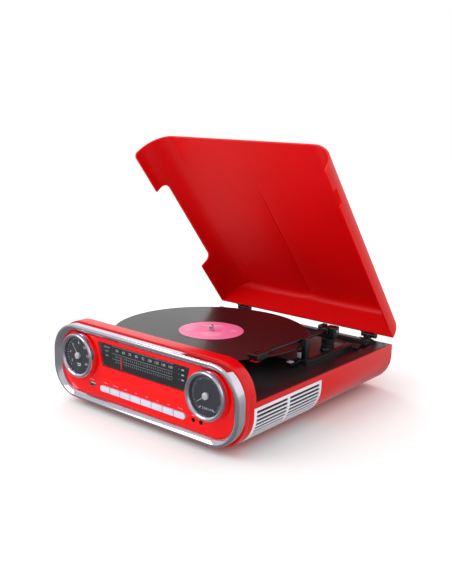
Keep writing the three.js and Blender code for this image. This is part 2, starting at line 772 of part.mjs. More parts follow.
function stylus() {
  const { x, z, shellFront } = ARM;
  const tip = TURNTABLE.recordTop + STYLUS.clearance;
  const top = z - STYLUS.drop;
  const shape = new THREE.Shape();
  shape.moveTo(shellFront + 1, top);
  shape.lineTo(shellFront + 5, tip);
  shape.lineTo(shellFront + 7, tip);
  shape.lineTo(shellFront + 20, top - 0.8);
  shape.lineTo(shellFront + 20, top);
  shape.closePath();
  return alongX(shape, x - STYLUS.half, x + STYLUS.half);
}

function armRest() {
  const { y, half, saddleTop, postLeft, postRight, top, footX, footRadius } = REST;
  const foot = rodAlongZ(footRadius, DECK.panFloor + GAP, 68, footX, y, 16);
  const brace = block([footX - 6, postRight], [y - half, y + half], [64.5, 80]);
  const post = block([postLeft, postRight], [y - half, y + half], [70, top]);
  const saddle = block([ARM.x - 5, postLeft + 1], [y - half, y + half], [saddleTop - 3.6, saddleTop]);
  return join(foot, brace, post, saddle);
}

function cueLever() {
  const { x, pivotY, front, pivotZ, half, padHalf, hub: hubRadius } = LEVER;
  const bar = block([x - half, x + half], [front, pivotY], [pivotZ - 1.5, pivotZ + 1.5]);
  const pad = block([x - padHalf, x + padHalf], [front - 2, front + 8], [pivotZ, pivotZ + 4]);
  const hub = rodAlongX(hubRadius, x - 4, x + 4, pivotY, pivotZ, 16);
  return join(bar, pad, hub);
}

function slideSwitch(y) {
  const { x, half, length, rest } = SWITCH;
  const front = y + rest;
  const cap = block([x - half, x + half], [front, front + length], [DECK.panFloor + GAP, DECK.top + 2.5]);
  const stem = block([x - 1.6, x + 1.6], [front + 2, front + length - 2], [DECK.bottom - 4, DECK.top + 1]);
  return join(cap, stem);
}

// ---------- lid and hinges ----------

function lidShell() {
  const wall = CASE.wall;
  const outer = common(
    alongY(upperOutline(0, LID.bottom), LID.front, CASE.depth),
    alongX(lidSide(0, LID.front, LID.bottom, LID.cornerRadius), -HALF - 1, HALF + 1, 6),
  );
  const inner = common(
    alongY(upperOutline(wall, LID.bottom - 20), LID.front - 5, CASE.depth - wall),
    alongX(lidSide(wall, LID.front - 5, LID.bottom - 20, 1), -HALF, HALF, 6),
  );
  const recordNotch = roundedBox(
    RECORD_NOTCH.front,
    RECORD_NOTCH.back,
    LID.bottom - 40,
    RECORD_NOTCH.top,
    RECORD_NOTCH.radius,
  );
  const fingerNotch = roundedBox(
    FINGER_NOTCH.front,
    FINGER_NOTCH.back,
    LID.bottom - 20,
    FINGER_NOTCH.top,
    FINGER_NOTCH.radius,
  );
  return cut(
    outer,
    inner,
    alongX(recordNotch, -HALF - 5, -HALF + 12, 5),
    alongX(fingerNotch, HALF - 12, HALF + 5, 3),
  );
}

function hingeBase(side) {
  const x = side * HINGE.x;
  const face = CASE.depth + GAP;
  const plate = block([x - HINGE.halfWidth, x + HINGE.halfWidth], [face, face + HINGE.plate], [38, 66]);
  const arm = block([x - HINGE.centreHalf, x + HINGE.centreHalf], [face, HINGE.y], [60, HINGE.z]);
  const knuckle = rodAlongX(HINGE.knuckle, x - HINGE.centreHalf, x + HINGE.centreHalf, HINGE.y, HINGE.z);
  const pin = rodAlongX(HINGE.pin, x - HINGE.halfWidth, x + HINGE.halfWidth, HINGE.y, HINGE.z);
  return join(plate, arm, knuckle, pin);
}

function hingeLeaf(side) {
  const x = side * HINGE.x;
  const face = CASE.depth + GAP;
  const low = HINGE.z - 1.5;
  const parts = [block([x - HINGE.halfWidth, x + HINGE.halfWidth], [face, face + HINGE.plate], [75, 100])];
  for (const end of [-1, 1]) {
    const from = x + end * (HINGE.centreHalf + GAP);
    const to = x + end * HINGE.halfWidth;
    const span = [Math.min(from, to), Math.max(from, to)];
    parts.push(block(span, [face, HINGE.y], [low, 76]));
    parts.push(rodAlongX(HINGE.knuckle, ...span, HINGE.y, HINGE.z));
  }
  const bore = rodAlongX(HINGE.pin + 0.25, x - 20, x + 20, HINGE.y, HINGE.z);
  return cut(join(...parts), bore);
}

function foot(x, y) {
  const { radius, height } = FOOT;
  const profile = [[0, -height], [radius - 1, -height], [radius, -height + 1.5], [radius, -GAP], [0, -GAP]];
  return turnedAt(profile, x, y, 14);
}

function loudspeaker() {
  const { radius, face, magnet, depth } = SPEAKER;
  const profile = [
    [0, face - 9],
    [5, face - 9],
    [radius - 4, face - 1.5],
    [radius - 3, face],
    [radius, face],
    [radius, face - 3],
    [magnet, face - 16],
    [magnet, face - depth],
    [0, face - depth],
  ];
  return turnedAlongX(profile, SPEAKER.y, SPEAKER.z, 20);
}

function rearSockets() {
  const inside = CASE.depth - CASE.wall - GAP;
  const outside = CASE.depth + 4;
  const body = block([REAR.power - 12, REAR.rca[1] + 8], [inside - 12, inside], [REAR.z - 9, REAR.z + 9]);
  const barrels = REAR.rca.map((x) => rodAlongY(REAR.rcaRadius, inside - 1, outside, x, REAR.z));
  barrels.push(rodAlongY(REAR.powerRadius, inside - 1, CASE.depth, REAR.power, REAR.z));
  const bores = REAR.rca.map((x) => rodAlongY(REAR.rcaBore, CASE.depth - 6, outside + 1, x, REAR.z, 12));
  bores.push(rodAlongY(REAR.powerBore, CASE.depth - 9, outside, REAR.power, REAR.z, 16));
  return cut(join(body, ...barrels), ...bores);
}

// ---------- assembly ----------

const FINISHES = {
  red: { color: 0xd0121c, roughness: 0.3, metalness: 0 },
  face: { color: 0xe81010, roughness: 0.2, metalness: 0 },
  chrome: { color: 0xd8d8dc, roughness: 0.08, metalness: 1 },
  silver: { color: 0xcfcfda, roughness: 0.35, metalness: 0.2 },
  black: { color: 0x141414, roughness: 0.35, metalness: 0 },
  vinyl: { color: 0x101012, roughness: 0.25, metalness: 0 },
  slate: { color: 0x33333c, roughness: 0.4, metalness: 0 },
  glass: { color: 0xa8b0c0, roughness: 0.05, metalness: 0 },
  smoke: { color: 0x202625, roughness: 0.08, metalness: 0 },
  steel: { color: 0x9a9aa0, roughness: 0.3, metalness: 1 },
  brass: { color: 0xb08d4a, roughness: 0.35, metalness: 1 },
  rubber: { color: 0x1a1a1a, roughness: 0.8, metalness: 0 },
  stylusRed: { color: 0xb01018, roughness: 0.4, metalness: 0 },
  board: { color: 0x1f5a38, roughness: 0.5, metalness: 0 },
  cone: { color: 0x222222, roughness: 0.9, metalness: 0 },
};

const assembly = new THREE.Group();

function place(name, geometry, finish, parent = assembly) {
  const mesh = new THREE.Mesh(geometry, new THREE.MeshStandardMaterial(FINISHES[finish]));
  mesh.name = name;
  parent.add(mesh);
  return mesh;
}

place('plinth_shell', plinthShell(), 'red');
place('front_housing', frontHousing(), 'red');
place('face_panel', facePanel(), 'face');
place('trim_ring', trimRing(), 'chrome');
place('tuner_window', alongY(windowOutline(GAP), FRONT.faceY, WINDOW.back), 'smoke');
place('scale_plate', alongY(windowOutline(GAP), SCALE_PLATE.front, SCALE_PLATE.back), 'black');
place('tuning_pointer', tuningPointer(), 'stylusRed');
for (let i = 0; i < BUTTONS.count; i += 1) place(`button_${i + 1}`, pushButton(i), 'silver');
place('usb_socket', usbSocket(), 'steel');
for (const [name, x] of Object.entries(JACKS)) place(name, jackSocket(x), 'black');

const knobs = [
  { name: 'volume', side: -1, word: 'left', needleAngle: 130 },
  { name: 'tuning', side: 1, word: 'right', needleAngle: 215 },
];
for (const { name, side, word, needleAngle } of knobs) {
  place(`dial_face_${word}`, dialFace(side), 'slate');
  place(`${name}_bezel`, knobBezel(side), 'chrome');
  place(`${name}_lens`, knobLens(side), 'glass');
  place(`${name}_needle`, knobNeedle(side, needleAngle), 'chrome');
  place(`${name}_control`, rotaryControl(side), 'steel');
}

place('deck_plate', deckPlate(), 'black');
place('main_board', mainBoard(), 'board');
const grille = speakerGrille();
const speaker = loudspeaker();
place('speaker_grille_right', grille, 'silver');
place('speaker_grille_left', mirrored(grille), 'silver');
place('speaker_right', speaker, 'cone');
place('speaker_left', mirrored(speaker), 'cone');

place('platter', platter(), 'black');
place('record', record(), 'vinyl');
place('spindle', spindle(), 'steel');
place('spindle_bush', spindleBush(), 'brass');
place('motor', motor(), 'steel');
place('motor_pulley', motorPulley(), 'brass');
place('drive_belt', driveBelt(), 'rubber');

place('arm_base', armBase(), 'black');
place('arm_yoke', armYoke(), 'black');
place('tonearm', tonearm(), 'black');
place('cartridge', cartridge(), 'black');
place('stylus', stylus(), 'stylusRed');
place('arm_rest', armRest(), 'black');
place('cue_lever', cueLever(), 'black');
for (const [name, y] of Object.entries(SWITCHES)) place(name, slideSwitch(y), 'black');

// The lid and its hinge leaves are made closed and turned open about the hinge axis.
const lid = new THREE.Group();
lid.position.set(0, HINGE.y, HINGE.z);
lid.rotation.x = -THREE.MathUtils.degToRad(LID.openAngle);
assembly.add(lid);
place('lid_shell', lidShell().translate(0, -HINGE.y, -HINGE.z), 'red', lid);
for (const [word, side] of [['left', -1], ['right', 1]]) {
  place(`hinge_leaf_${word}`, hingeLeaf(side).translate(0, -HINGE.y, -HINGE.z), 'black', lid);
  place(`hinge_base_${word}`, hingeBase(side), 'black');
}

for (const [row, y] of [['front', FOOT.front], ['rear', FOOT.back]]) {
  place(`foot_${row}_left`, foot(-FOOT.x, y), 'rubber');
  place(`foot_${row}_right`, foot(FOOT.x, y), 'rubber');
}
place('rear_sockets', rearSockets(), 'black');

// Origin: centre of the footprint, on the floor.
const bounds = new THREE.Box3().setFromObject(assembly);
assembly.position.set(
  -(bounds.min.x + bounds.max.x) / 2,
  -(bounds.min.y + bounds.max.y) / 2,
  -bounds.min.z,
);
const whole = new THREE.Group();
whole.add(assembly);

export default whole;
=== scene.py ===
import json
import math

import bmesh
import bpy
from mathutils import Matrix, Vector


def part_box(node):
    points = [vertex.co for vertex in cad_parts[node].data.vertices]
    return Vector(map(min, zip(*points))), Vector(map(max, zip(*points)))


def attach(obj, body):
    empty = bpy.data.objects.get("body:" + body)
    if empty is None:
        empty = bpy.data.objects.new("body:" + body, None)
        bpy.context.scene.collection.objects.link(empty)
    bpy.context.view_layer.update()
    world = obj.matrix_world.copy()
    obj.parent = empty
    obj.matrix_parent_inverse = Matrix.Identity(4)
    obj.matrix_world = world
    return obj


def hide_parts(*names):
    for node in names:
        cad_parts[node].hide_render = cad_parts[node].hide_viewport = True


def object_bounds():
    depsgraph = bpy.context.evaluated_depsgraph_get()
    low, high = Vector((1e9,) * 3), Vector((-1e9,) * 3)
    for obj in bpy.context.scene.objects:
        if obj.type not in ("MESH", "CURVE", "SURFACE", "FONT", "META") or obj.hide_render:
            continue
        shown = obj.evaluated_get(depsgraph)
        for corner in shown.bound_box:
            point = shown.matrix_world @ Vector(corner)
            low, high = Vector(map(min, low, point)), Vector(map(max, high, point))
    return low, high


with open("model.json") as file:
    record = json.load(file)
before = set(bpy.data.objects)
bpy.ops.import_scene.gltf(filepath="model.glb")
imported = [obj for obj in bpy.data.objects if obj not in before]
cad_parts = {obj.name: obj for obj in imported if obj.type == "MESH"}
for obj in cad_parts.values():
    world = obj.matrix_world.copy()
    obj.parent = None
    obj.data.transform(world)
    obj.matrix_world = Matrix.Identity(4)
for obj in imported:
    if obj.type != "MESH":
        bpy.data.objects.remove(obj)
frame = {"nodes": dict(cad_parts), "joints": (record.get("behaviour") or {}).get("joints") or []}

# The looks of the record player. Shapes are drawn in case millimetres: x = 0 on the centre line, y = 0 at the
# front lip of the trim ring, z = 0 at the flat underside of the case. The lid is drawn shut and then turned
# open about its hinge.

cad_low, cad_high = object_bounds()

# ---------- the frame, in case millimetres ----------

MM = 0.001
RING_LOW, RING_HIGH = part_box("trim_ring")
ORIGIN = Vector(((RING_LOW.x + RING_HIGH.x) / 2, RING_LOW.y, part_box("plinth_shell")[0].z))
PLACE = Matrix.Translation(ORIGIN) @ Matrix.Scale(MM, 4)


def spot(node):
    """Lowest and highest corner of a CAD node, in case millimetres."""
    low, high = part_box(node)
    return (low - ORIGIN) / MM, (high - ORIGIN) / MM


def middle(node):
    low, high = spot(node)
    return (low + high) / 2


LID_JOINT = next(joint for joint in frame["joints"] if joint["name"] == "lid_hinge")
LID_PIN = (Vector(LID_JOINT["pos_m"]) - ORIGIN) / MM
LID_OPEN = math.radians(max(LID_JOINT["range_deg"], key=abs))
# Turns the shut lid open.
LID_TURN = Matrix.Translation(LID_PIN) @ Matrix.Rotation(-LID_OPEN, 4, "X") @ Matrix.Translation(-LID_PIN)
GAP = 0.3
WALL = 3
HALF = spot("plinth_shell")[1].x
HEIGHT = spot("front_housing")[1].z
DEPTH = spot("plinth_shell")[1].y
RADIUS = 47
REAR_RADIUS = 14
PANEL_INSET = 13.8
KNOB_CENTRES = {word: middle(f"dial_face_{word}").xz for word in ("left", "right")}
RECORD_AXIS = middle("record").xy
RECORD_TOP = spot("record")[1].z
RECORD_RADIUS = (spot("record")[1].x - spot("record")[0].x) / 2
ARM_X = middle("arm_base").x
ARM_Y = middle("arm_base").y
ARM_Z = 97
WINDOW = {"top_half": 88, "bottom_half": 78, "bottom": 62, "top": 97, "radius": 3.5}
STRIP = {"count": 8, "half": 82, "z": 29, "height": 8.6}

# ---------- meshes ----------


def to_mesh(bm):
    bmesh.ops.remove_doubles(bm, verts=bm.verts, dist=1e-4)
    bmesh.ops.recalc_face_normals(bm, faces=bm.faces)
    mesh = bpy.data.meshes.new("work")
    bm.to_mesh(mesh)
    bm.free()
    return mesh


def new_object(name, data):
    obj = bpy.data.objects.new(name, data)
    bpy.context.scene.collection.objects.link(obj)
    return obj


def finished_mesh(obj):
    """The object's mesh after its modifiers."""
    bpy.context.view_layer.update()
    return bpy.data.meshes.new_from_object(obj.evaluated_get(bpy.context.evaluated_depsgraph_get()))


def applied(mesh, build):
    """The mesh after modifiers that build adds to it. build returns the other objects that they use."""
    obj = new_object("work", mesh)
    others = build(obj)
    result = finished_mesh(obj)
    for used in [obj, *others]:
        bpy.data.objects.remove(used)
    return result


def boolean(mesh, operation, tools):
    def build(obj):
        objects = [new_object("work", tool) for tool in tools]
        for tool in objects:
            modifier = obj.modifiers.new("boolean", "BOOLEAN")
            modifier.operation = operation
            modifier.solver = "EXACT"
            modifier.object = tool
        return objects
    return applied(mesh, build)


def cut(mesh, *tools):
    return boolean(mesh, "DIFFERENCE", tools)


def fuse(mesh, *tools):
    return boolean(mesh, "UNION", tools)


def common(mesh, *tools):
    return boolean(mesh, "INTERSECT", tools)


def together(*meshes):
    """Several separate solids in one mesh."""
    bm = bmesh.new()
    for mesh in meshes:
        bm.from_mesh(mesh)
    joined = bpy.data.meshes.new("work")
    bm.to_mesh(joined)
    bm.free()
    return joined


def moved(mesh, matrix):
    copy = mesh.copy()
    copy.transform(matrix)
    return copy


def mirrored(mesh):
    copy = moved(mesh, Matrix.Scale(-1, 4, (1, 0, 0)))
    copy.flip_normals()
    return copy


def rounded(mesh, width, segments=3, angle=35):
    """The mesh with its sharp edges rounded off."""
    def build(obj):
        modifier = obj.modifiers.new("bevel", "BEVEL")
        modifier.width = width
        modifier.segments = segments
        modifier.limit_method = "ANGLE"
        modifier.angle_limit = math.radians(angle)
        modifier.use_clamp_overlap = True
        return []
    return applied(mesh, build)


def arc(x, y, radius, start, end, steps=12):
    """Points on a circle, from one angle to another in degrees."""
    angles = [math.radians(start + (end - start) * i / steps) for i in range(steps + 1)]
    return [(x + radius * math.cos(a), y + radius * math.sin(a)) for a in angles]


def rounded_rectangle(left, right, low, high, radius, steps=8, left_radius=None):
    """Its left corners may have a radius of their own."""
    near = left_radius or radius
    return (
        arc(right - radius, low + radius, radius, -90, 0, steps)
        + arc(right - radius, high - radius, radius, 0, 90, steps)
        + arc(left + near, high - near, near, 90, 180, steps)
        + arc(left + near, low + near, near, 180, 270, steps)
    )


def rounded_polygon(corners, radius, steps=6):
    """A flat outline through corners, each rounded by a curve."""
    points = []
    for i, corner in enumerate(corners):
        here = Vector(corner)
        before = Vector(corners[i - 1]) - here
        after = Vector(corners[(i + 1) % len(corners)]) - here
        start = here + before.normalized() * radius
        end = here + after.normalized() * radius
        for k in range(steps + 1):
            t = k / steps
            points.append(tuple(start * (1 - t) ** 2 + here * 2 * t * (1 - t) + end * t * t))
    return points


AXES = {
    "X": lambda a, b, d: (d, a, b),
    "Y": lambda a, b, d: (a, d, b),
    "Z": lambda a, b, d: (a, b, d),
}


def loft(rings, looped=False):
    """A skin over rings of points, closed at its ends unless it is looped. A ring may be a single point."""
    bm = bmesh.new()
    rows = [[bm.verts.new(point) for point in ring] for ring in rings]
    following = rows[1:] + rows[:1] if looped else rows[1:]
    for first, second in zip(rows, following):
        count = max(len(first), len(second))
        for i in range(count if count > 1 else 0):
            j = (i + 1) % count
            near = [first[i % len(first)], first[j % len(first)]]
            far = [second[j % len(second)], second[i % len(second)]]
            bm.faces.new(list(dict.fromkeys(near + far)))
    if not looped:
        bm.faces.new(rows[0][::-1])
        bm.faces.new(rows[-1])
    return to_mesh(bm)


def prism(outline, axis, low, high):
    """A flat outline drawn along an axis: (y, z) along X, (x, z) along Y or (x, y) along Z."""
    return loft([[AXES[axis](a, b, d) for a, b in outline] for d in (low, high)])


def block(x, y, z):
    return prism([(x[0], y[0]), (x[1], y[0]), (x[1], y[1]), (x[0], y[1])], "Z", *z)


def node_block(node, wider=0.0):
    """A block as large as a CAD node, or wider by as much on its left and right."""
    low, high = spot(node)
    return block((low.x - wider, high.x + wider), (low.y, high.y), (low.z, high.z))


def lathe(profile, centre, axis="Z", segments=96):
    """A closed profile of (radius, height) turned about an axis; centre is its place across that axis."""
    rings = []
    for radius, height in profile:
        ring = []
        for i in range(segments if radius else 1):
            angle = 2 * math.pi * i / segments
            a = centre[0] + radius * math.cos(angle)
            b = centre[1] + radius * math.sin(angle)
            ring.append(AXES[axis](a, b, height))
        rings.append(ring)
    return loft(rings, looped=True)


def rod(radius, axis, centre, low, high, segments=48):
    return lathe([(0, low), (radius, low), (radius, high), (0, high)], centre, axis, segments)


def tube_along(points, first_radius, last_radius, segments):
    """A tapered round bar along a line of points."""
    rings = []
    for i, point in enumerate(points):
        ahead = Vector(points[min(i + 1, len(points) - 1)])
        behind = Vector(points[max(i - 1, 0)])
        direction = (ahead - behind).normalized()
        side = direction.cross(Vector((0, 0, 1))).normalized()
        up = side.cross(direction)
        share = i / (len(points) - 1)
        radius = first_radius * (1 - share) + last_radius * share
        turns = [2 * math.pi * k / segments for k in range(segments)]
        rings.append([Vector(point) + (side * math.cos(a) + up * math.sin(a)) * radius for a in turns])
    return loft(rings)


def lettering(text, size, x, z, front, depth=0.08):
    """Raised print that faces the front, centred on (x, z)."""
    curve = bpy.data.curves.new("print", "FONT")
    curve.body = text
    curve.size = size
    curve.align_x = "CENTER"
    curve.align_y = "CENTER"
    curve.extrude = depth / 2
    curve.resolution_u = 3
    obj = new_object("print", curve)
    mesh = finished_mesh(obj)
    bpy.data.objects.remove(obj)
    mesh.transform(Matrix.Translation((x, front - depth / 2, z)) @ Matrix.Rotation(math.pi / 2, 4, "X"))
    bm = bmesh.new()
    bm.from_mesh(mesh)
    return to_mesh(bm)


# ---------- materials ----------


def colour(red, green, blue):
    """A colour given in screen values, 0 to 255, as linear light."""
    def linear(value):
        value /= 255
        return value / 12.92 if value <= 0.04045 else ((value + 0.055) / 1.055) ** 2.4
    return (linear(red), linear(green), linear(blue), 1)


def feed(tree, node, inputs):
    """Sets a node's inputs. One that is given as another node's output is linked to it."""
    for socket, value in inputs.items():
        if isinstance(value, bpy.types.NodeSocket):
            tree.links.new(value, node.inputs[socket])
        else:
            node.inputs[socket].default_value = value


def make_node(tree, kind, output, inputs, **settings):
    """A new shader node's output."""
    node = tree.nodes.new("ShaderNode" + kind)
    for name, value in settings.items():
        setattr(node, name, value)
    feed(tree, node, inputs)
    return node.outputs[output]


def new_material(name):
    material = bpy.data.materials.new(name)
    material.use_nodes = True
    return material, material.node_tree, material.node_tree.nodes["Principled BSDF"]


def place_on(tree):
    return make_node(tree, "TexCoord", "Object", {})


def noise(tree, scale, detail):
    return make_node(tree, "TexNoise", "Fac", {"Scale": scale, "Detail": detail, "Vector": place_on(tree)})


def mixed(tree, factor, first, second, kind="MIX"):
    inputs = {"Factor": factor, "A": first, "B": second}
    return make_node(tree, "Mix", "Result", inputs, data_type="RGBA", blend_type=kind)


def ranged(tree, value, low, high):
    return make_node(tree, "MapRange", "Result", {"Value": value, "To Min": low, "To Max": high})


def bumped(tree, height, strength, distance):
    inputs = {"Height": height, "Strength": strength, "Distance": distance}
    return make_node(tree, "Bump", "Normal", inputs)


def shaded(tint, share):
    return tuple(min(1, c * share) for c in tint[:3]) + (1,)


GLOSS_SOCKETS = {
    "specular": "Specular IOR Level",
    "coat": "Coat Weight",
    "coat_roughness": "Coat Roughness",
}


def surface(name, tint, roughness, metallic=0.0, drift=0.08, grain=2600, relief=0.05, **gloss):
    """A moulded, painted or metal surface, with drifting colour and roughness and a fine relief."""
    material, tree, shader = new_material(name)
    fine = noise(tree, grain, 2)
    feed(tree, shader, {
        "Base Color": mixed(tree, noise(tree, 16, 3), shaded(tint, 1 - drift), shaded(tint, 1 + drift)),
        "Roughness": ranged(tree, fine, roughness * 0.8, roughness * 1.2),
        "Normal": bumped(tree, fine, relief, 0.0002),
        "Metallic": metallic,
    })
    feed(tree, shader, {GLOSS_SOCKETS[word]: value for word, value in gloss.items()})
    return material


def glass(name, tint, body):
    """A thin clear cover: it mirrors what is around it at a slant, and is seen through face on."""
    material, tree, shader = new_material(name)
    smear = noise(tree, 60, 3)
    slant = make_node(tree, "LayerWeight", "Facing", {"Blend": 0.5})
    steep = make_node(tree, "Math", "Value", {0: slant, 1: 5}, operation="POWER")
    haze = ranged(tree, smear, body * 0.85, body * 1.15)
    cover = make_node(tree, "Math", "Value", {0: steep, 1: haze}, operation="ADD", use_clamp=True)
    gloss = ranged(tree, smear, 0.02, 0.06)
    feed(tree, shader, {"Base Color": tint, "Metallic": 1, "Alpha": cover, "Roughness": gloss})
    return material


def vinyl():
    """Pressed vinyl: grooves run round the spindle, so highlights stretch across them."""
    material, tree, shader = new_material("pressed_vinyl")
    spindle = PLACE @ Vector((*RECORD_AXIS, RECORD_TOP))
    away = make_node(tree, "VectorMath", "Vector", {0: place_on(tree), 1: spindle}, operation="SUBTRACT")
    flat = make_node(tree, "VectorMath", "Vector", {0: away, 1: (1, 1, 0)}, operation="MULTIPLY")
    distance = make_node(tree, "VectorMath", "Value", {0: flat}, operation="LENGTH")
    inputs = {"Scale": 420, "Detail": 4, "W": distance}
    bands = make_node(tree, "TexNoise", "Fac", inputs, noise_dimensions="1D")
    inputs = {"Scale": 2600, "W": distance}
    grooves = make_node(tree, "TexNoise", "Fac", inputs, noise_dimensions="1D")
    feed(tree, shader, {
        "Base Color": mixed(tree, bands, colour(26, 25, 28), colour(31, 30, 33)),
        "Roughness": ranged(tree, bands, 0.22, 0.26),
        "Normal": bumped(tree, grooves, 0.05, 0.0001),
        "Tangent": make_node(tree, "Tangent", "Tangent", {}, direction_type="RADIAL", axis="Z"),
        "Anisotropic": 0.75,
        "Specular IOR Level": 0.2,
        "Coat Weight": 0.12,
        "Coat Roughness": 0.06,
    })
    return material


def label_paper():
    """Printed paper label: two pinks in soft blotches, with faint paper fibre."""
    material, tree, shader = new_material("label_paper")
    feed(tree, shader, {
        "Base Color": mixed(tree, noise(tree, 45, 2), colour(250, 96, 160), colour(255, 150, 196)),
        "Normal": bumped(tree, noise(tree, 900, 3), 0.1, 0.0001),
        "Roughness": 0.45,
    })
    return material


def painted(slot, name, tint, roughness, *rest, **settings):
    return slot, surface(name, colour(*tint), roughness, *rest, **settings)


FINISHES = {
    "red": painted("red_shell", "red_paint", (222, 0, 6), 0.24, grain=700, relief=0.03,
                   specular=0.3, coat=0.08, coat_roughness=0.1),
    "lid_red": painted("red_shell", "lid_red", (222, 0, 4), 0.4, grain=700, relief=0.03, specular=0.22),
    "face": painted("red_face", "red_lacquer", (248, 0, 2), 0.16, grain=600, relief=0.02,
                    coat=0.3, coat_roughness=0.04),
    "chrome": painted("chrome_trim", "chrome", (222, 218, 230), 0.08, 1.0, drift=0.02, relief=0.01),
    "silver": painted("silver_plastic", "silver_plastic", (214, 213, 232), 0.3, relief=0.04),
    "grille": painted("silver_plastic", "grille_silver", (238, 237, 245), 0.32, relief=0.04),
    # Pale blue-white for painted highlights: plates that stand in for glints on glossy black parts.
    "painted_glint_blue": painted("silver_plastic", "painted_glint_blue", (196, 202, 224), 0.25),
    "hub": painted("chrome_trim", "hub_silver", (226, 226, 230), 0.28, 0.6, drift=0.03),
    "dark_steel": painted("bright_steel", "dark_steel", (70, 68, 72), 0.35, 1.0),
    "black": painted("black_plastic", "black_plastic", (20, 20, 22), 0.3, relief=0.06),
    "deck": painted("deck_black", "deck_black", (26, 24, 26), 0.36, grain=1800, relief=0.08, specular=0.35),
    "vinyl": ("record_vinyl", vinyl()),
    "label": ("record_vinyl", label_paper()),
    "slate": painted("dial_slate", "dial_slate", (46, 47, 54), 0.4, relief=0.08),
    "lens": ("clear_lens", glass("clear_lens", colour(226, 228, 246), 0.05)),
    "smoke": ("smoked_window", glass("smoked_window", colour(180, 188, 196), 0.1)),
    "steel": painted("bright_steel", "bright_steel", (200, 200, 205), 0.22, 1.0),
    "brass": painted("brass_metal", "brass", (190, 150, 80), 0.3, 1.0),
    "rubber": painted("black_rubber", "black_rubber", (26, 26, 27), 0.75, grain=1500, relief=0.3),
    "signal": painted("signal_red", "signal_red", (222, 18, 30), 0.3),
    "board": painted("circuit_board", "circuit_board", (28, 92, 52), 0.4, grain=1200, relief=0.2),
    "cone": painted("speaker_cone", "speaker_cone", (36, 35, 36), 0.85, grain=1600, relief=0.35),
    "print": painted("silver_plastic", "white_print", (222, 226, 232), 0.5),
    "grey_print": painted("silver_plastic", "grey_print", (158, 164, 172), 0.5),
    "pink_print": painted("silver_plastic", "pink_print", (255, 205, 222), 0.5),
    "faint_print": painted("silver_plastic", "faint_print", (255, 138, 146), 0.5),
    "white": painted("silver_plastic", "white_plastic", (225, 225, 222), 0.35),
}


def add(name, mesh, finish, body, replaces=(), bevel=0.0, segments=3, sharp=34, shut_lid=False):
    """Puts a mesh drawn in case millimetres into the frame as a finished piece that rides on a body."""
    if bevel:
        mesh = rounded(mesh, bevel, segments)
    if shut_lid:
        mesh.transform(LID_TURN)
    mesh.transform(PLACE)
    mesh.name = name
    slot, material = FINISHES[finish]
    mesh.materials.clear()
    mesh.materials.append(material)
    mesh.shade_smooth()
    mesh.set_sharp_from_angle(angle=math.radians(sharp))
    obj = new_object(name, mesh)
    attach(obj, body)
    if replaces:
        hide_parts(*replaces)
    return obj


def finish_node(node, finish):
    """Gives a CAD node that stays its finished material."""
    mesh = frame["nodes"][node].data
    mesh.materials.clear()
    mesh.materials.append(FINISHES[finish][1])


# ---------- case ----------


CASE_STEPS = 28


def case_outline(inset):
    return rounded_rectangle(-HALF + inset, HALF - inset, inset, HEIGHT - inset, RADIUS - inset, CASE_STEPS)


def lower_outline(inset, top):
    """The case outline with straight sides above its lower corners, up to a flat top."""
    radius = RADIUS - inset
    x = HALF - RADIUS
    corners = arc(-x, RADIUS, radius, 180, 270, CASE_STEPS) + arc(x, RADIUS, radius, 270, 360, CASE_STEPS)
    return [(HALF - inset, top), (-HALF + inset, top)] + corners


def side_outline(inset, front):
    """The plinth's side view, with its rear bottom edge rounded."""
    back = DEPTH - inset
    radius = REAR_RADIUS - inset
    edge = arc(back - radius, inset + radius, radius, -90, 0)
    return [(front, HEIGHT), (front, inset), *edge, (back, HEIGHT)]


SEAM_Y = spot("plinth_shell")[0].y
SEAM_Z = spot("plinth_shell")[1].z
HOUSING_FRONT = spot("front_housing")[0].y
HOUSING_BACK = spot("front_housing")[1].y
DECK_TOP = 66
DECK_BOTTOM = spot("deck_plate")[0].z
RIM_TOP = DECK_TOP - 0.6
DECK_INSET = 1.8

GRILLE_LOW, GRILLE_HIGH = spot("speaker_grille_right")
GRILLE = {"front": GRILLE_LOW.y, "back": GRILLE_HIGH.y, "divider": 106, "top": GRILLE_HIGH.z, "sweep": 62}
GRILLE_PROUD = 0.6
SLOTS = {"pitch": 5.6, "height": 3.7, "rows": 10, "first": 6, "frame": 5}


def grille_strip(outside, thickness, margin):
    """A strip down the side and round the lower edge of the case."""
    x = HALF - RADIUS
    outer = RADIUS + outside
    inner = outer - thickness
    sweep = GRILLE["sweep"] + math.degrees(margin / outer)
    top = GRILLE["top"] + margin
    outline = [(x + inner, top)] + arc(x, RADIUS, inner, 0, -sweep, 24)
    outline += arc(x, RADIUS, outer, -sweep, 0, 24) + [(x + outer, top)]
    return prism(outline, "Y", GRILLE["front"] - margin, GRILLE["back"] + margin)


def slot_cutter(distance, low, high):
    """One slot's cutter, a distance down the strip from its top."""
    reach = 8
    half = SLOTS["height"] / 2
    outline = rounded_rectangle(-reach, reach, -half, half, 0.9, 3)
    cutter = prism(outline, "Y", low, high)
    straight = GRILLE["top"] - RADIUS
    if distance < straight:
        return moved(cutter, Matrix.Translation((HALF, 0, GRILLE["top"] - distance)))
    angle = (distance - straight) / RADIUS
    turn = Matrix.Translation((HALF - RADIUS, 0, RADIUS)) @ Matrix.Rotation(angle, 4, "Y")
    return moved(cutter, turn @ Matrix.Translation((RADIUS, 0, 0)))


def speaker_grille():
    bays = [
        (GRILLE["front"] + SLOTS["frame"], GRILLE["divider"] - SLOTS["frame"] / 2),
        (GRILLE["divider"] + SLOTS["frame"] / 2, GRILLE["back"] - SLOTS["frame"]),
    ]
    strip = rounded(grille_strip(GRILLE_PROUD, 1.4, 0), 0.5, 3, 50)
    cutters = []
    for row in range(SLOTS["rows"]):
        cutters += [slot_cutter(SLOTS["first"] + row * SLOTS["pitch"], *bay) for bay in bays]
    return cut(strip, together(*cutters))


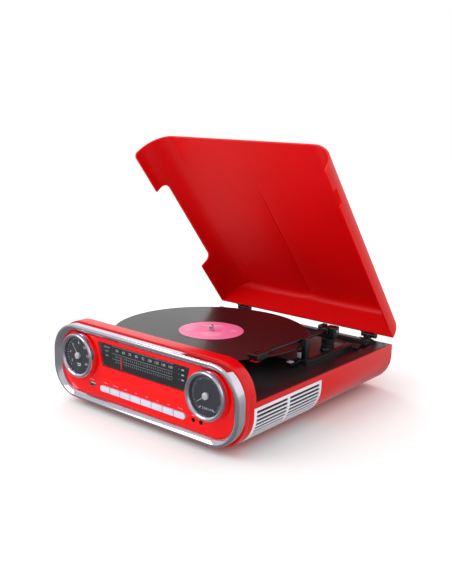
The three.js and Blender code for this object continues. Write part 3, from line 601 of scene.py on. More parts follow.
def plinth():
    body = fuse(
        prism(lower_outline(0, RIM_TOP), "Y", SEAM_Y, DEPTH),
        common(
            prism(case_outline(0), "Y", SEAM_Y, HOUSING_BACK),
            block((-HALF - 1, HALF + 1), (0, DEPTH), (-1, SEAM_Z)),
        ),
    )
    body = common(body, prism(side_outline(0, 0), "X", -HALF - 1, HALF + 1))
    hollow = common(
        prism(lower_outline(WALL, HEIGHT), "Y", SEAM_Y - 1, DEPTH - WALL),
        prism(side_outline(WALL, SEAM_Y - 1), "X", -HALF, HALF),
    )
    edge = HALF - DECK_INSET + GAP
    back = DEPTH - DECK_INSET + GAP
    rebate = block((-edge, edge), (HOUSING_BACK, back), (DECK_BOTTOM - GAP, HEIGHT))
    behind_front = (HOUSING_BACK - WALL, HOUSING_BACK)
    cross_wall = block((-HALF + 2, HALF - 2), behind_front, (DECK_BOTTOM - 5, SEAM_Z))
    shell = rounded(fuse(cut(body, hollow, rebate), cross_wall), 0.5, 2)
    opening = grille_strip(GRILLE_PROUD, 6, GAP)
    return cut(shell, opening, mirrored(opening), *rear_holes())


REAR_Z = 30
RCA_X = (-60, -46)
RCA_RADIUS = 4.2
POWER_X = -88
POWER_RADIUS = 5.4


def rear_holes():
    sockets = [(x, RCA_RADIUS) for x in RCA_X] + [(POWER_X, POWER_RADIUS)]
    return [rod(radius + 0.4, "Y", (x, REAR_Z), DEPTH - 5, DEPTH + 1) for x, radius in sockets]


def housing():
    outer = rounded(prism(case_outline(0), "Y", HOUSING_FRONT, HOUSING_BACK), 1.1, 4)
    below = block((-HALF - 1, HALF + 1), (SEAM_Y - GAP, HOUSING_BACK + 1), (-1, SEAM_Z + GAP))
    front_hollow = prism(case_outline(WALL), "Y", HOUSING_FRONT - 1, SEAM_Y - GAP)
    rear_hollow = common(
        prism(case_outline(WALL), "Y", SEAM_Y - 1, HOUSING_BACK - WALL),
        block((-HALF, HALF), (0, HOUSING_BACK), (SEAM_Z + GAP + WALL, HEIGHT)),
    )
    return cut(outer, below, front_hollow, rear_hollow)


CORNER_STEPS = 32


def trim_ring():
    """The chrome frame: a section of (inset, y) points swept round the case, narrower above and below."""
    back = spot("trim_ring")[1].y
    outer, inner = 0.7, 13.5
    section = [(outer, back), (outer, 3.4), (0.9, 2.3), (1.5, 1.3), (2.5, 0.6), (3.8, 0.15), (5.2, 0)]
    section += [(6.2, 0.25), (12.2, 5.4), (12.9, 6.3), (13.3, 7.4), (inner, 9), (inner, back)]
    x, low, high = HALF - RADIUS, RADIUS, HEIGHT - RADIUS
    rings = []
    for cx, cz, start in ((x, low, -90), (x, high, 0), (-x, high, 90), (-x, low, 180)):
        for step in range(CORNER_STEPS + 1):
            angle = math.radians(start + 90 * step / CORNER_STEPS)
            drawn_in = 3.4 * max(0.0, -math.sin(angle)) + 1.5 * max(0.0, math.sin(angle))
            ring = []
            for inset, y in section:
                reach = RADIUS - inset - drawn_in * (inner - inset) / (inner - outer)
                ring.append((cx + reach * math.cos(angle), y, cz + reach * math.sin(angle)))
            rings.append(ring)
    return loft(rings, looped=True)


FACE_FRONT = 9
BOSS_FRONT = 4.8
BOSS_RADIUS = 34.5
SHAFT_HOLE = 3.6
JACK_RADIUS = 2.9


def window_outline(inset):
    corners = [
        (-WINDOW["bottom_half"] + inset, WINDOW["bottom"] + inset),
        (WINDOW["bottom_half"] - inset, WINDOW["bottom"] + inset),
        (WINDOW["top_half"] - inset, WINDOW["top"] - inset),
        (-WINDOW["top_half"] + inset, WINDOW["top"] - inset),
    ]
    return rounded_polygon(corners, WINDOW["radius"])


def face_panel():
    back = spot("face_panel")[1].y
    through = (BOSS_FRONT - 5, back + 1)
    panel = prism(case_outline(PANEL_INSET), "Y", FACE_FRONT, back)
    reach = prism(case_outline(PANEL_INSET), "Y", BOSS_FRONT - 1, back)
    for centre in KNOB_CENTRES.values():
        boss = rod(BOSS_RADIUS, "Y", centre, BOSS_FRONT, back - 1, 128)
        panel = fuse(panel, common(boss, reach))
    room = 0.4
    grown = STRIP["half"] + room
    rise = STRIP["height"] / 2 + room
    strip = rounded_rectangle(-grown, grown, STRIP["z"] - rise, STRIP["z"] + rise, rise - 0.01)
    usb_low, usb_high = spot("usb_socket")
    usb = block((usb_low.x - GAP, usb_high.x + GAP), through, (usb_low.z - GAP, usb_high.z + GAP))
    holes = [prism(window_outline(0), "Y", *through), prism(strip, "Y", *through), usb]
    for node in ("headphone_jack", "line_in_jack"):
        centre = middle(node)
        holes.append(rod(JACK_RADIUS + GAP, "Y", (centre.x, centre.z), *through))
    for centre in KNOB_CENTRES.values():
        holes.append(rod(SHAFT_HOLE, "Y", centre, *through))
    return rounded(cut(panel, *holes), 0.45, 3)


def make_case():
    add("plinth_body", plinth(), "red", "base", ["plinth_shell"])
    add("front_pod", housing(), "red", "base", ["front_housing"], bevel=0.3, segments=2)
    add("front_panel", face_panel(), "face", "base", ["face_panel"])
    add("chrome_frame", trim_ring(), "chrome", "base", ["trim_ring"], sharp=50)
    grille = speaker_grille()
    liner = grille_strip(-0.85, 1.6, 0)
    for word, shape, backing in (("right", grille, liner), ("left", mirrored(grille), mirrored(liner))):
        add(f"grille_{word}", shape, "grille", "base", [f"speaker_grille_{word}"], bevel=0.25, segments=2)
        add(f"grille_liner_{word}", backing, "cone", "base")
    for row in ("front", "rear"):
        for word in ("left", "right"):
            node = f"foot_{row}_{word}"
            centre = middle(node)
            low, high = spot(node)
            radius = (high.x - low.x) / 2
            profile = [(0, low.z + 0.8), (radius - 4, low.z + 0.8), (radius - 3.4, low.z)]
            profile += [(radius - 1, low.z), (radius, low.z + 1), (radius, high.z), (0, high.z)]
            add(f"rubber_{node}", lathe(profile, centre.xy), "rubber", "base", [node])


# ---------- front panel ----------


def tuner():
    low, high = spot("tuner_window")
    pane = prism(window_outline(GAP), "Y", low.y, high.y)
    add("window_pane", pane, "smoke", "base", ["tuner_window"], bevel=0.35)
    low, high = spot("scale_plate")
    plate = prism(window_outline(GAP), "Y", low.y, high.y)
    add("scale_backing", plate, "black", "base", ["scale_plate"], bevel=0.2)
    add_scale(low.y)
    pointer = node_block("tuning_pointer", 0.6)
    add("pointer_bar", pointer, "signal", "tuning_pointer", ["tuning_pointer"], bevel=0.2)


def print_depth(front):
    return (front - 0.08, front + 0.02)


def bar(x, z, width, height, front):
    """A printed bar, centred on (x, z)."""
    return block((x - width / 2, x + width / 2), print_depth(front), (z - height / 2, z + height / 2))


def add_scale(front):
    """A row of numbers over two graduated rules, with a column of small marks at each end."""
    left, right = -58, 52
    span = right - left
    numbers, grey = [], []
    bands = ["54", "60", "70", "80", "92", "100", "120", "140", "160"]
    for i, word in enumerate(bands):
        numbers.append(lettering(word, 5.4, left + 6 + (span - 8) * i / (len(bands) - 1), 88.6, front))
    for z in (93.8, 83.4, 75.6):
        grey.append(bar((left + right - 1) / 2, z, span + 7, 0.6, front))
    for z in (79.8, 72):
        for i in range(27):
            grey.append(bar(left + 4 + (span - 4) * i / 26, z, 1, 3.4 if i % 5 == 0 else 2.2, front))
    for z, width in ((90.4, 12), (84.6, 7), (78, 5)):
        grey.append(bar(-73, z, width, 1.4, front))
    for z in (89.5, 82.5, 75.5):
        numbers.append(bar(72.25, z, 4.5, 1.8, front))
        grey.append(bar(65.1, z, 1.2, 1.2, front))
    add("scale_numbers", together(*numbers), "print", "base", sharp=20)
    add("scale_rules", together(*grey), "grey_print", "base", sharp=20)


def push_buttons():
    prints = []
    last = STRIP["count"] - 1
    round_end = STRIP["height"] / 2 - 0.02
    cap_back = 14.2
    widths = (7, 10, 5, 5, 4, 3, 4, 9)
    for i in range(STRIP["count"]):
        node = f"button_{i + 1}"
        low, high = spot(node)
        left = low.x + (0.45 if i else 0)
        right = high.x - (0.45 if i < last else 0)
        left_radius = 0.35 if i else round_end
        right_radius = 0.35 if i < last else round_end
        outline = rounded_rectangle(left, right, low.z, high.z, right_radius, 12, left_radius)
        cap = rounded(prism(outline, "Y", low.y, cap_back), 0.7, 3, 60)
        centre = middle(node)
        stem = block((centre.x - 3, centre.x + 3), (cap_back + 0.01, high.y), (centre.z - 2, centre.z + 2))
        add(f"key_{i + 1}", together(cap, stem), "silver", node, [node])
        x = STRIP["half"] * ((2 * i + 1) / STRIP["count"] - 1)
        prints.append(bar(x, 37.85, widths[i], 0.9, FACE_FRONT))
    prints.append(bar(-100.5, 36.8, 9, 0.8, FACE_FRONT))
    prints.append(bar(95, 34.4, 5, 0.8, FACE_FRONT))
    add("panel_print", together(*prints), "faint_print", "base", sharp=20)


def sockets():
    low, high = spot("usb_socket")
    wall = 0.5
    mouth = block((low.x + wall, high.x - wall), (low.y - 1, high.y - 1.5), (low.z + wall, high.z - wall))
    shell = cut(node_block("usb_socket"), mouth)
    add("usb_shell", shell, "steel", "base", ["usb_socket"], bevel=0.12, segments=2)
    tongue = block((low.x + 1.3, high.x - 1.3), (low.y + 1.5, high.y - 1.6), (high.z - 2.6, high.z - 0.9))
    add("usb_tongue", tongue, "white", "base", bevel=0.15)
    for node in ("headphone_jack", "line_in_jack"):
        centre = middle(node).xz
        front, back = spot(node)[0].y, spot(node)[1].y
        profile = [(0, back - 2), (1.8, back - 2), (1.8, front + 0.4), (2.1, front), (2.7, front)]
        profile += [(JACK_RADIUS, front + 0.3), (JACK_RADIUS, 15), (4, 15), (4, back), (0, back)]
        add(f"{node}_barrel", lathe(profile, centre, "Y", 40), "black", "base", [node])
        add(f"{node}_contact", rod(1.7, "Y", centre, back - 4, back - 2.1, 24), "steel", "base")


def on_dial(centre, angle):
    """Places a mark drawn along X on a dial, at an angle in degrees anticlockwise from its right."""
    return Matrix.Translation((centre.x, 0, centre.y)) @ Matrix.Rotation(-math.radians(angle), 4, "Y")


def tick(centre, inner, outer, angle, width, front):
    mark = block((inner, outer), print_depth(front), (-width / 2, width / 2))
    return moved(mark, on_dial(centre, angle))


def volume_marks(centre, front):
    """A speedometer-like round of numbers and ticks, with two small bars at its foot."""
    marks = []
    numbers = ["2", "4", "6", "8", "10", "12", "14"]
    for i, word in enumerate(numbers):
        angle = math.radians(215 - 250 * i / (len(numbers) - 1))
        place = (centre.x + 18.4 * math.cos(angle), centre.y + 18.4 * math.sin(angle))
        marks.append(lettering(word, 5.4, *place, front))
    for i in range(31):
        marks.append(tick(centre, 23.8 if i % 5 else 22.4, 25.6, 225 - 9 * i, 0.5, front))
    for below, width in ((12.95, 9), (15.65, 6)):
        marks.append(bar(centre.x, centre.y - below, width, 1.1, front))
    return together(*marks)


def tuning_marks(centre, front):
    """A fine round of ticks, with a row of small numbers and two thick marks at its foot."""
    marks = []
    for i in range(41):
        marks.append(tick(centre, 22.8 if i % 4 else 21.2, 24.2, 235 - 7.25 * i, 0.35, front))
    for i in range(5):
        word = str((3 * i + 2) % 10)
        marks.append(lettering(word, 4.4, centre.x - 6.4 + 3.2 * i, centre.y - 17.6, front))
    for angle in (302, 238):
        marks.append(tick(centre, 18.5, 22, angle, 1.1, front))
    return together(*marks)


NEEDLE_ANGLES = {"volume": 130, "tuning": 215}


def knob(name, word, marks):
    """A dial face with its print, and the knob's bezel, lens and hub with its needle, which turn together."""
    centre = KNOB_CENTRES[word]
    body = f"{name}_knob"
    low, high = spot(f"dial_face_{word}")
    plate = low.y - 0.5
    profile = [(SHAFT_HOLE, low.y), (25.9, low.y), (26.4, plate), (30.5, plate), (30.5, high.y)]
    profile.append((SHAFT_HOLE, high.y))
    face = lathe(profile, centre, "Y", 128)
    add(f"dial_{word}", face, "slate", "base", [f"dial_face_{word}"])
    add(f"dial_print_{word}", marks(centre, low.y), "print", "base", sharp=20)

    front, back = spot(f"{name}_bezel")[0].y, spot(f"{name}_bezel")[1].y
    section = [(33, back), (33, 1.4), (32.8, -0.6), (32.3, front + 1.3), (31.4, front + 0.4), (30.4, front)]
    section += [(29.6, front + 0.2), (28.4, front + 0.9), (27, front + 2.2), (26.8, -0.9), (26.8, 1.1)]
    section += [(31, 1.6), (31, back)]
    add(f"{name}_rim", lathe(section, centre, "Y", 160), "chrome", body, [f"{name}_bezel"], sharp=40)

    low, high = spot(f"{name}_lens")
    hole, rim = 5.3, 26.5
    dome = []
    for i in range(13):
        radius = hole + (rim - hole) * i / 12
        dome.append((radius, low.y + 0.9 * (radius / rim) ** 2))
    dome += [(rim, high.y), (hole, high.y)]
    add(f"{name}_glass", lathe(dome, centre, "Y", 128), "lens", body, [f"{name}_lens"])

    cap = [(0, -1.6), (2.4, -1.55), (3.9, -1.3), (4.6, -0.8), (4.9, -0.1), (4.9, 2.6), (3.2, 2.6)]
    cap += [(3.2, 20), (0, 20)]
    pointer = prism([(2, -0.7), (20, -0.22), (21, 0), (20, 0.22), (2, 0.7)], "Y", 1.8, 2.4)
    needle = moved(pointer, on_dial(centre, NEEDLE_ANGLES[name]))
    add(f"{name}_hub", fuse(lathe(cap, centre, "Y", 64), needle), "hub", body, [f"{name}_needle"], sharp=40)
    finish_node(f"{name}_control", "steel")


def make_front():
    tuner()
    push_buttons()
    sockets()
    knob("volume", "left", volume_marks)
    knob("tuning", "right", tuning_marks)
    finish_node("main_board", "board")


# ---------- deck and turntable ----------

PAN = {"left": -160, "right": 156, "front": 93, "back": 374, "radius": 12, "floor": 63.6}
RIDGE = {"left": 129, "right": 139, "front": 204, "back": 330, "top": 71}


def deck_plate():
    edge = HALF - DECK_INSET
    slab = prism(
        rounded_rectangle(-edge, edge, HOUSING_BACK + GAP, DEPTH - DECK_INSET, 2), "Z", DECK_BOTTOM, DECK_TOP
    )
    pan = prism(
        rounded_rectangle(PAN["left"], PAN["right"], PAN["front"], PAN["back"], PAN["radius"]),
        "Z", PAN["floor"], DECK_TOP + 2,
    )
    ridge = prism(
        rounded_rectangle(RIDGE["left"], RIDGE["right"], RIDGE["front"], RIDGE["back"], 2.5),
        "Z", DECK_BOTTOM + 1, RIDGE["top"],
    )
    motor = middle("motor_pulley")
    holes = [
        rod(6.4, "Z", RECORD_AXIS, DECK_BOTTOM - 1, DECK_TOP + 1),
        rod(7, "Z", (motor.x, motor.y), DECK_BOTTOM - 1, DECK_TOP + 1),
    ]
    for node in ("speed_switch", "auto_stop_switch"):
        x = middle(node).x
        y = spot(node)[0].y + 9
        holes.append(block((x - 2, x + 2), (y - 8, y + 8), (DECK_BOTTOM - 1, DECK_TOP + 1)))
    shaped = fuse(cut(slab, pan), ridge)
    return cut(rounded(shaped, 0.7, 3), *holes)


def deck_screws():
    """Countersunk cross-head screws at the deck's corners and beside the ridge."""
    places = [(-165, 60), (165.5, 62), (-167, 380), (165.5, 380), (165.5, 222), (-167, 222), (0, 380)]
    profile = [(0, -1), (2.2, -1), (2.2, 0.2), (1.8, 0.45), (0, 0.55)]
    slots = [block((-1.3, 1.3), (-0.25, 0.25), (0, 2)), block((-0.25, 0.25), (-1.3, 1.3), (0, 2))]
    head = cut(lathe(profile, (0, 0), "Z", 32), *slots)
    heads = [moved(head, Matrix.Translation((x, y, DECK_TOP))) for x, y in places]
    return together(*heads)


def platter():
    low, high = spot("platter")
    radius, top = 104, high.z
    profile = [(3.7, top), (98, top), (98.6, top - 0.5), (101, top - 0.5), (101.6, top), (103.2, top)]
    profile.append((radius, top - 0.9))
    for i in range(4):
        z = top - 2.4 - 2.6 * i
        profile += [(radius, z + 0.5), (radius - 0.7, z), (radius - 0.7, z - 0.6), (radius, z - 1.1)]
    profile += [(radius, low.z + 3), (radius, 72.6), (radius - 0.6, 72), (101, 72), (101, 83)]
    profile += [(63, 83), (63, 75), (60, 75), (60, 83), (9, 83), (9, low.z), (3.7, low.z)]
    return lathe(profile, RECORD_AXIS, "Z", 160)


def record_disc():
    """The pressed disc: a raised rim, a playing area with gaps between tracks, and a smooth inner area."""
    top, bottom = RECORD_TOP, spot("record")[0].z
    outer = RECORD_RADIUS
    play = top - 0.16
    inner = top - 0.05
    profile = [(3.7, bottom), (outer - 0.7, bottom), (outer - 0.15, bottom + 0.5)]
    profile += [(outer, (bottom + top) / 2), (outer - 0.15, top - 0.5), (outer - 0.7, top), (outer - 3, top)]
    profile += [(outer - 4, play), (outer - 4.6, play)]
    for edge in (128, 110, 92, 77):
        for offset, depth in ((1.4, 0), (0.9, 0), (0.5, 0.03), (-0.5, 0.03), (-0.9, 0), (-1.4, 0)):
            profile.append((edge + offset, play - depth))
    profile += [(62.6, play), (62, play), (61.6, play - 0.05), (61, play - 0.05), (52.6, play - 0.05)]
    profile += [(52, play - 0.05), (51.4, inner), (50.8, inner), (3.7, inner)]
    return lathe(profile, RECORD_AXIS, "Z", 256)


LABEL_RADIUS = 50


def record_label():
    under, dip, top = (RECORD_TOP + rise for rise in (-0.04, 0, 0.05))
    edge = [(LABEL_RADIUS, under), (LABEL_RADIUS, RECORD_TOP + 0.02), (LABEL_RADIUS - 0.3, top)]
    profile = [(3.9, under), *edge, (18, top), (17.6, dip), (17, dip), (16.6, top), (3.9, top)]
    return lathe(profile, RECORD_AXIS, "Z", 160)


def label_print():
    """Plain bars where a label carries its words."""
    x, y = RECORD_AXIS
    height = (RECORD_TOP, RECORD_TOP + 0.09)
    rows = [(26, 30, 3.4), (19.5, 16, 1.6), (-14, 34, 1.5), (-18, 26, 1.5), (-22, 34, 1.5), (-26, 20, 1.5)]
    marks = []
    for across, length, thick in [*rows, (-30, 28, 1.5)]:
        marks.append(block((x - length / 2, x + length / 2), (y + across, y + across + thick), height))
    for middle_x in (x - 34, x + 34):
        for across in (4, 0, -4):
            marks.append(block((middle_x - 5, middle_x + 5), (y + across, y + across + 1.2), height))
    there = Matrix.Translation((x, y, 0))
    turn = there @ Matrix.Rotation(math.radians(38), 4, "Z") @ there.inverted()
    return moved(together(*marks), turn)


def make_turntable():
    add("deck", deck_plate(), "deck", "base", ["deck_plate"])
    add("deck_screws", deck_screws(), "dark_steel", "base")
    add("platter_casting", platter(), "black", "turntable", ["platter"])
    add("disc", record_disc(), "vinyl", "turntable", ["record"])
    add("disc_label", record_label(), "label", "turntable")
    add("disc_print", label_print(), "pink_print", "turntable", sharp=20)
    low, high = spot("spindle")
    profile = [(0, low.z), (3.5, low.z), (3.5, high.z - 3.2), (3.3, high.z - 2), (2.6, high.z - 0.9)]
    profile += [(1.4, high.z - 0.2), (0, high.z)]
    add("spindle_pin", lathe(profile, RECORD_AXIS, "Z", 48), "steel", "turntable", ["spindle"])
    hidden = {"spindle_bush": "brass", "motor": "steel", "motor_pulley": "brass", "drive_belt": "rubber"}
    for node, finish in {**hidden, "speaker_left": "cone", "speaker_right": "cone"}.items():
        finish_node(node, finish)


# ---------- tonearm ----------


def arm_column():
    low, high = spot("arm_base")
    profile = [(0, low.z), (11.6, low.z), (11.6, 67.2), (11, 68), (10.6, 68.4), (10, 70), (10, 74)]
    profile += [(9.4, 74.6), (9.4, 76), (10, 76.6), (10, 84.2), (9.2, high.z), (4.4, high.z)]
    profile += [(4.4, 70), (0, 70)]
    return lathe(profile, (ARM_X, ARM_Y), "Z", 80)


def arm_yoke():
    low, high = spot("arm_yoke")
    body = rounded(block((low.x, high.x), (low.y, high.y), (86, high.z)), 2.2, 5)
    slot = block((ARM_X - 6.5, ARM_X + 6.5), (low.y - 1, high.y + 1), (90, high.z + 1))
    bore = rod(1.9, "X", (ARM_Y, ARM_Z), low.x - 1, high.x + 1)
    return fuse(cut(body, slot, bore), rod(4, "Z", (ARM_X, ARM_Y), low.z, 87))


def pivot_screws():
    low, high = spot("arm_yoke")
    screws = []
    for x, step in ((low.x, -1), (high.x, 1)):
        head = rod(3, "X", (ARM_Y, ARM_Z), *sorted((x + step * 0.1, x + step * 1.3)), 36)
        slot = block((x - 3, x + 3), (ARM_Y - 3.5, ARM_Y + 3.5), (ARM_Z - 0.35, ARM_Z + 0.35))
        keep = block((x - 0.1, x + 0.1), (ARM_Y - 4, ARM_Y + 4), (ARM_Z - 4, ARM_Z + 4))
        screws.append(cut(rounded(head, 0.3), cut(slot, keep)))
    return together(*screws)


SHELL_FRONT = spot("cartridge")[0].y - 3


def arm_wand():
    """The moving arm: tube, pivot hub with its pin, neck, headshell and finger lift."""
    neck_front = SHELL_FRONT + 31
    tube = tube_along([(ARM_X, y, ARM_Z) for y in (neck_front, 200, ARM_Y)], 2.3, 2.7, 40)
    hub = block((ARM_X - 5.5, ARM_X + 5.5), (ARM_Y - 12, ARM_Y + 13), (ARM_Z - 5.5, ARM_Z + 5))
    pin = rod(1.6, "X", (ARM_Y, ARM_Z), ARM_X - 12, ARM_X + 12)
    right_side = [(9, 0), (9, 26), (4, 40)]
    corners = [(ARM_X + x, SHELL_FRONT + y) for x, y in right_side]
    corners += [(ARM_X - x, SHELL_FRONT + y) for x, y in reversed(right_side)]
    outline = rounded_polygon(corners, 2.2)
    shell = rounded(prism(outline, "Z", ARM_Z, ARM_Z + 4), 1.0, 3, 60)
    vents = []
    for y in (SHELL_FRONT + 8, SHELL_FRONT + 15):
        vent = rounded_rectangle(ARM_X - 5, ARM_X + 5, y, y + 3, 1.4)
        vents.append(prism(vent, "Z", ARM_Z + 3.2, ARM_Z + 5))
    steps = [(0, 0), (3.2, 0), (3.6, 0.6), (3.6, 5), (3.1, 5.6), (3.1, 7.4), (3.6, 8), (3.6, 15)]
    steps += [(3, 16), (0, 16)]
    neck = lathe([(radius, neck_front + along) for radius, along in steps], (ARM_X, ARM_Z), "Y", 40)
    bends = [(7, 3, 2), (10.5, 1, 1.9), (13.5, -2.2, 2.1), (15.4, -5.5, 2.9)]
    lift = tube_along([(ARM_X + x, SHELL_FRONT + y, ARM_Z + z) for x, y, z in bends], 1.2, 0.8, 16)
    return fuse(cut(shell, *vents), tube, rounded(hub, 1.6, 4), pin, neck, lift)


def cartridge_body():
    low, high = spot("cartridge")
    step = block((low.x - 1, high.x + 1), (low.y - 1, low.y + 6), (low.z - 1, low.z + 2))
    return cut(node_block("cartridge"), step)


def stylus_block():
    low, high = spot("stylus")
    tip = low.z
    outline = [
        (SHELL_FRONT + 1, high.z), (SHELL_FRONT + 4.6, tip + 0.5), (SHELL_FRONT + 5.4, tip),
        (SHELL_FRONT + 7, tip), (SHELL_FRONT + 20, high.z - 0.8), (SHELL_FRONT + 20, high.z),
    ]
    return prism(outline, "X", low.x, high.x)


def arm_rest():
    low, high = spot("arm_rest")
    y = middle("arm_rest").y
    half = 5
    post_left, post_right = 122, high.x
    foot = lathe([(0, low.z), (8.5, low.z), (8.5, 67), (7.6, 68), (0, 68)], (120, y), "Z", 56)
    brace = block((114, post_right), (y - half, y + half), (64.5, 80))
    side = [(post_left, 70), (post_right, 70), (post_right, high.z - 1.5), (post_right - 1.4, high.z)]
    side += [(post_left + 1.6, high.z), (post_left, high.z - 1)]
    post = prism(side, "Y", y - half, y + half)
    cradle = [(ARM_X - 5, 91), (ARM_X - 5, 94.1), (ARM_X, 94.1), (post_left + 1, 94.1), (post_left + 1, 90)]
    saddle = prism([*cradle, (ARM_X - 3, 90)], "Y", y - half, y + half)
    return rounded(fuse(brace, foot, post, saddle), 0.6, 3)


def cue_lever():
    x = middle("cue_lever").x
    pivot_y, pivot_z, front = 199.5, 69, 178
    arm = block((x - 3, x + 3), (front, pivot_y), (pivot_z - 1.5, pivot_z + 1.5))
    pad = rounded(block((x - 4.5, x + 4.5), (front - 2, front + 8), (pivot_z, pivot_z + 4)), 1.2, 4)
    hub = rod(3.2, "X", (pivot_y, pivot_z), x - 4, x + 4)
    return fuse(arm, pad, hub)


def lever_glint_plate():
    """A pale plate on the cue lever's finger pad: a painted highlight that stands in for the glint of the
    glossy black pad.
    """
    low, high = spot("cue_lever")
    x = middle("cue_lever").x
    return rounded(block((x - 4, x + 4), (low.y + 0.6, low.y + 9.4), (high.z + 0.01, high.z + 0.7)), 0.25)


def rest_glint_plate():
    """A pale plate on the front of the arm rest's foot: a painted highlight that stands in for the glint of
    the glossy black plastic.
    """
    front = middle("arm_rest").y - 5
    return rounded(block((114.6, 121.6), (front - 0.8, front - 0.01), (70, 79)), 0.25)


def slide_cap(node):
    low, high = spot(node)
    x = middle(node).x
    cap = block((x - 4, x + 4), (low.y, low.y + 8), (PAN["floor"] + GAP, high.z))
    grips = []
    for y in (low.y + 2, low.y + 3.65, low.y + 5.3):
        grips.append(block((x - 5, x + 5), (y, y + 0.7), (high.z - 0.6, high.z + 1)))
    stem = block((x - 1.6, x + 1.6), (low.y + 2, low.y + 6), (low.z, DECK_TOP))
    return fuse(rounded(cut(cap, *grips), 0.25, 2), stem)


def make_arm():
    add("arm_column", arm_column(), "black", "base", ["arm_base"])
    add("arm_fork", arm_yoke(), "black", "arm_gimbal", ["arm_yoke"], bevel=0.3, segments=2)
    add("pivot_screws", pivot_screws(), "steel", "arm_gimbal")
    add("arm_wand", arm_wand(), "black", "tonearm", ["tonearm"], sharp=40)
    add("cartridge_body", cartridge_body(), "black", "tonearm", ["cartridge"], bevel=0.5)
    add("stylus_block", stylus_block(), "signal", "tonearm", ["stylus"], bevel=0.35)
    add("arm_clip", arm_rest(), "black", "base", ["arm_rest"])
    add("lift_lever", cue_lever(), "black", "cue_lever", ["cue_lever"], bevel=0.3, segments=2)
    # The pale plates on the lever pad and on the arm rest are painted highlights that stand in for glints on
    # glossy black plastic.
    add("lever_glint_plate", lever_glint_plate(), "painted_glint_blue", "cue_lever")
    add("rest_glint_plate", rest_glint_plate(), "painted_glint_blue", "base")
    for node in ("speed_switch", "auto_stop_switch"):
        add(f"{node}_cap", slide_cap(node), "black", node, [node])


# ---------- lid and hinges ----------

LID = {"bottom": 67.3, "front": 36.5, "corner": 7}
RECORD_NOTCH = {"span": (113.8, 292.8), "top": 90.6}
FINGER_NOTCH = {"span": (73, 103), "top": 75}
CREASE = {"x": -4, "front": 122, "back": 372, "height": 3.2, "width": 14}


def crease(x, y):
    """How far the lid's top stands up along its bonnet-like crease, which fades towards the front."""
    along = (y - CREASE["front"]) / (CREASE["back"] - CREASE["front"])
    along = max(0.0, min(1.0, along)) ** 0.7
    away = abs(x - CREASE["x"]) / CREASE["width"]
    return CREASE["height"] * along * math.exp(-away)


def lid_stations(front, back, corner, rear):
    """Places along Y, closer together where the front corners and the rear edge turn."""
    places = [front + corner * (1 - math.cos(math.radians(9 * i))) for i in range(11)]
    straight = 48
    first, last = front + corner, back - rear
    places += [first + (last - first) * i / straight for i in range(1, straight)]
    places += [last + rear * math.sin(math.radians(6 * i)) for i in range(16)]
    return places


def lid_solid(inset, front, bottom, corner):
    """The lid's outer or inner form: the upper case outline lofted from front to back."""
    radius = RADIUS - inset
    x, z = HALF - RADIUS, HEIGHT - RADIUS
    back = DEPTH - inset
    rear = REAR_RADIUS - inset
    top = HEIGHT - inset
    flat = [x - 2 * x * i / 80 for i in range(1, 80)]
    flat += [CREASE["x"] + step for step in (-3, -1.5, -0.6, 0, 0.6, 1.5, 3)]
    flat = sorted(set(flat), reverse=True)
    outline = [(HALF - inset, None)] + arc(x, z, radius, 0, 90, 24) + [(px, top) for px in flat]
    outline += arc(-x, z, radius, 90, 180, 24) + [(-HALF + inset, None)]
    rings = []
    for y in lid_stations(front, back, corner, rear):
        over = max(0.0, y - (back - rear))
        roof = top - rear + math.sqrt(max(0.0, rear * rear - over * over))
        fading = min(1.0, (roof - HEIGHT + REAR_RADIUS + inset) / 8)
        under = max(0.0, front + corner - y)
        floor = bottom + corner - math.sqrt(max(0.0, corner * corner - under * under))
        ring = []
        for k, (px, pz) in enumerate(outline):
            above = 0.05 * min(k, len(outline) - 1 - k)
            height = floor if pz is None else max(min(pz, roof), floor + above)
            if pz is not None and height > HEIGHT - RADIUS * 0.3 - inset:
                height += crease(px, min(y, back - rear)) * fading
            ring.append((px, y, height))
        rings.append(ring)
    return loft(rings)


def lid():
    """The lid with a notch for the record, one for a finger, and a thin groove under the crease."""
    outer = lid_solid(0, LID["front"], LID["bottom"], LID["corner"])
    inner = lid_solid(WALL, LID["front"] - 6, LID["bottom"] - 20, 0.5)
    below = LID["bottom"] - 40
    record_gap = rounded_rectangle(*RECORD_NOTCH["span"], below, RECORD_NOTCH["top"], 12, 12)
    finger_gap = rounded_rectangle(*FINGER_NOTCH["span"], below, FINGER_NOTCH["top"], 4)
    x, roof = CREASE["x"], HEIGHT - WALL
    groove = [(CREASE["front"], roof - 1), (CREASE["back"], roof - 1), (CREASE["back"], roof + 4.6)]
    groove += [(CREASE["front"] + 60, roof + 2.9), (CREASE["front"], roof + 0.2)]
    return cut(
        outer,
        inner,
        prism(record_gap, "X", -HALF - 5, -HALF + 12),
        prism(finger_gap, "X", HALF - 12, HALF + 5),
        prism(groove, "X", x - 0.6, x + 0.6),
    )


HINGE_Y, HINGE_Z = LID_PIN.yz
PLATE_THICK = 2.2
KNUCKLE_RADIUS = 4.2


def hinge_leaf(x):
    """The leaf on the lid: a screwed plate and two knuckles."""
    face = DEPTH + GAP
    parts = [rounded(block((x - 13, x + 13), (face, face + PLATE_THICK), (75, 100)), 0.7)]
    for end in (-1, 1):
        span = sorted((x + end * 5.3, x + end * 13))
        strap = block(span, (face, HINGE_Y), (HINGE_Z - 1.5, 76))
        parts += [strap, rod(KNUCKLE_RADIUS, "X", (HINGE_Y, HINGE_Z), *span)]
    bore = rod(2.25, "X", (HINGE_Y, HINGE_Z), x - 20, x + 20)
    return cut(fuse(*parts), bore)


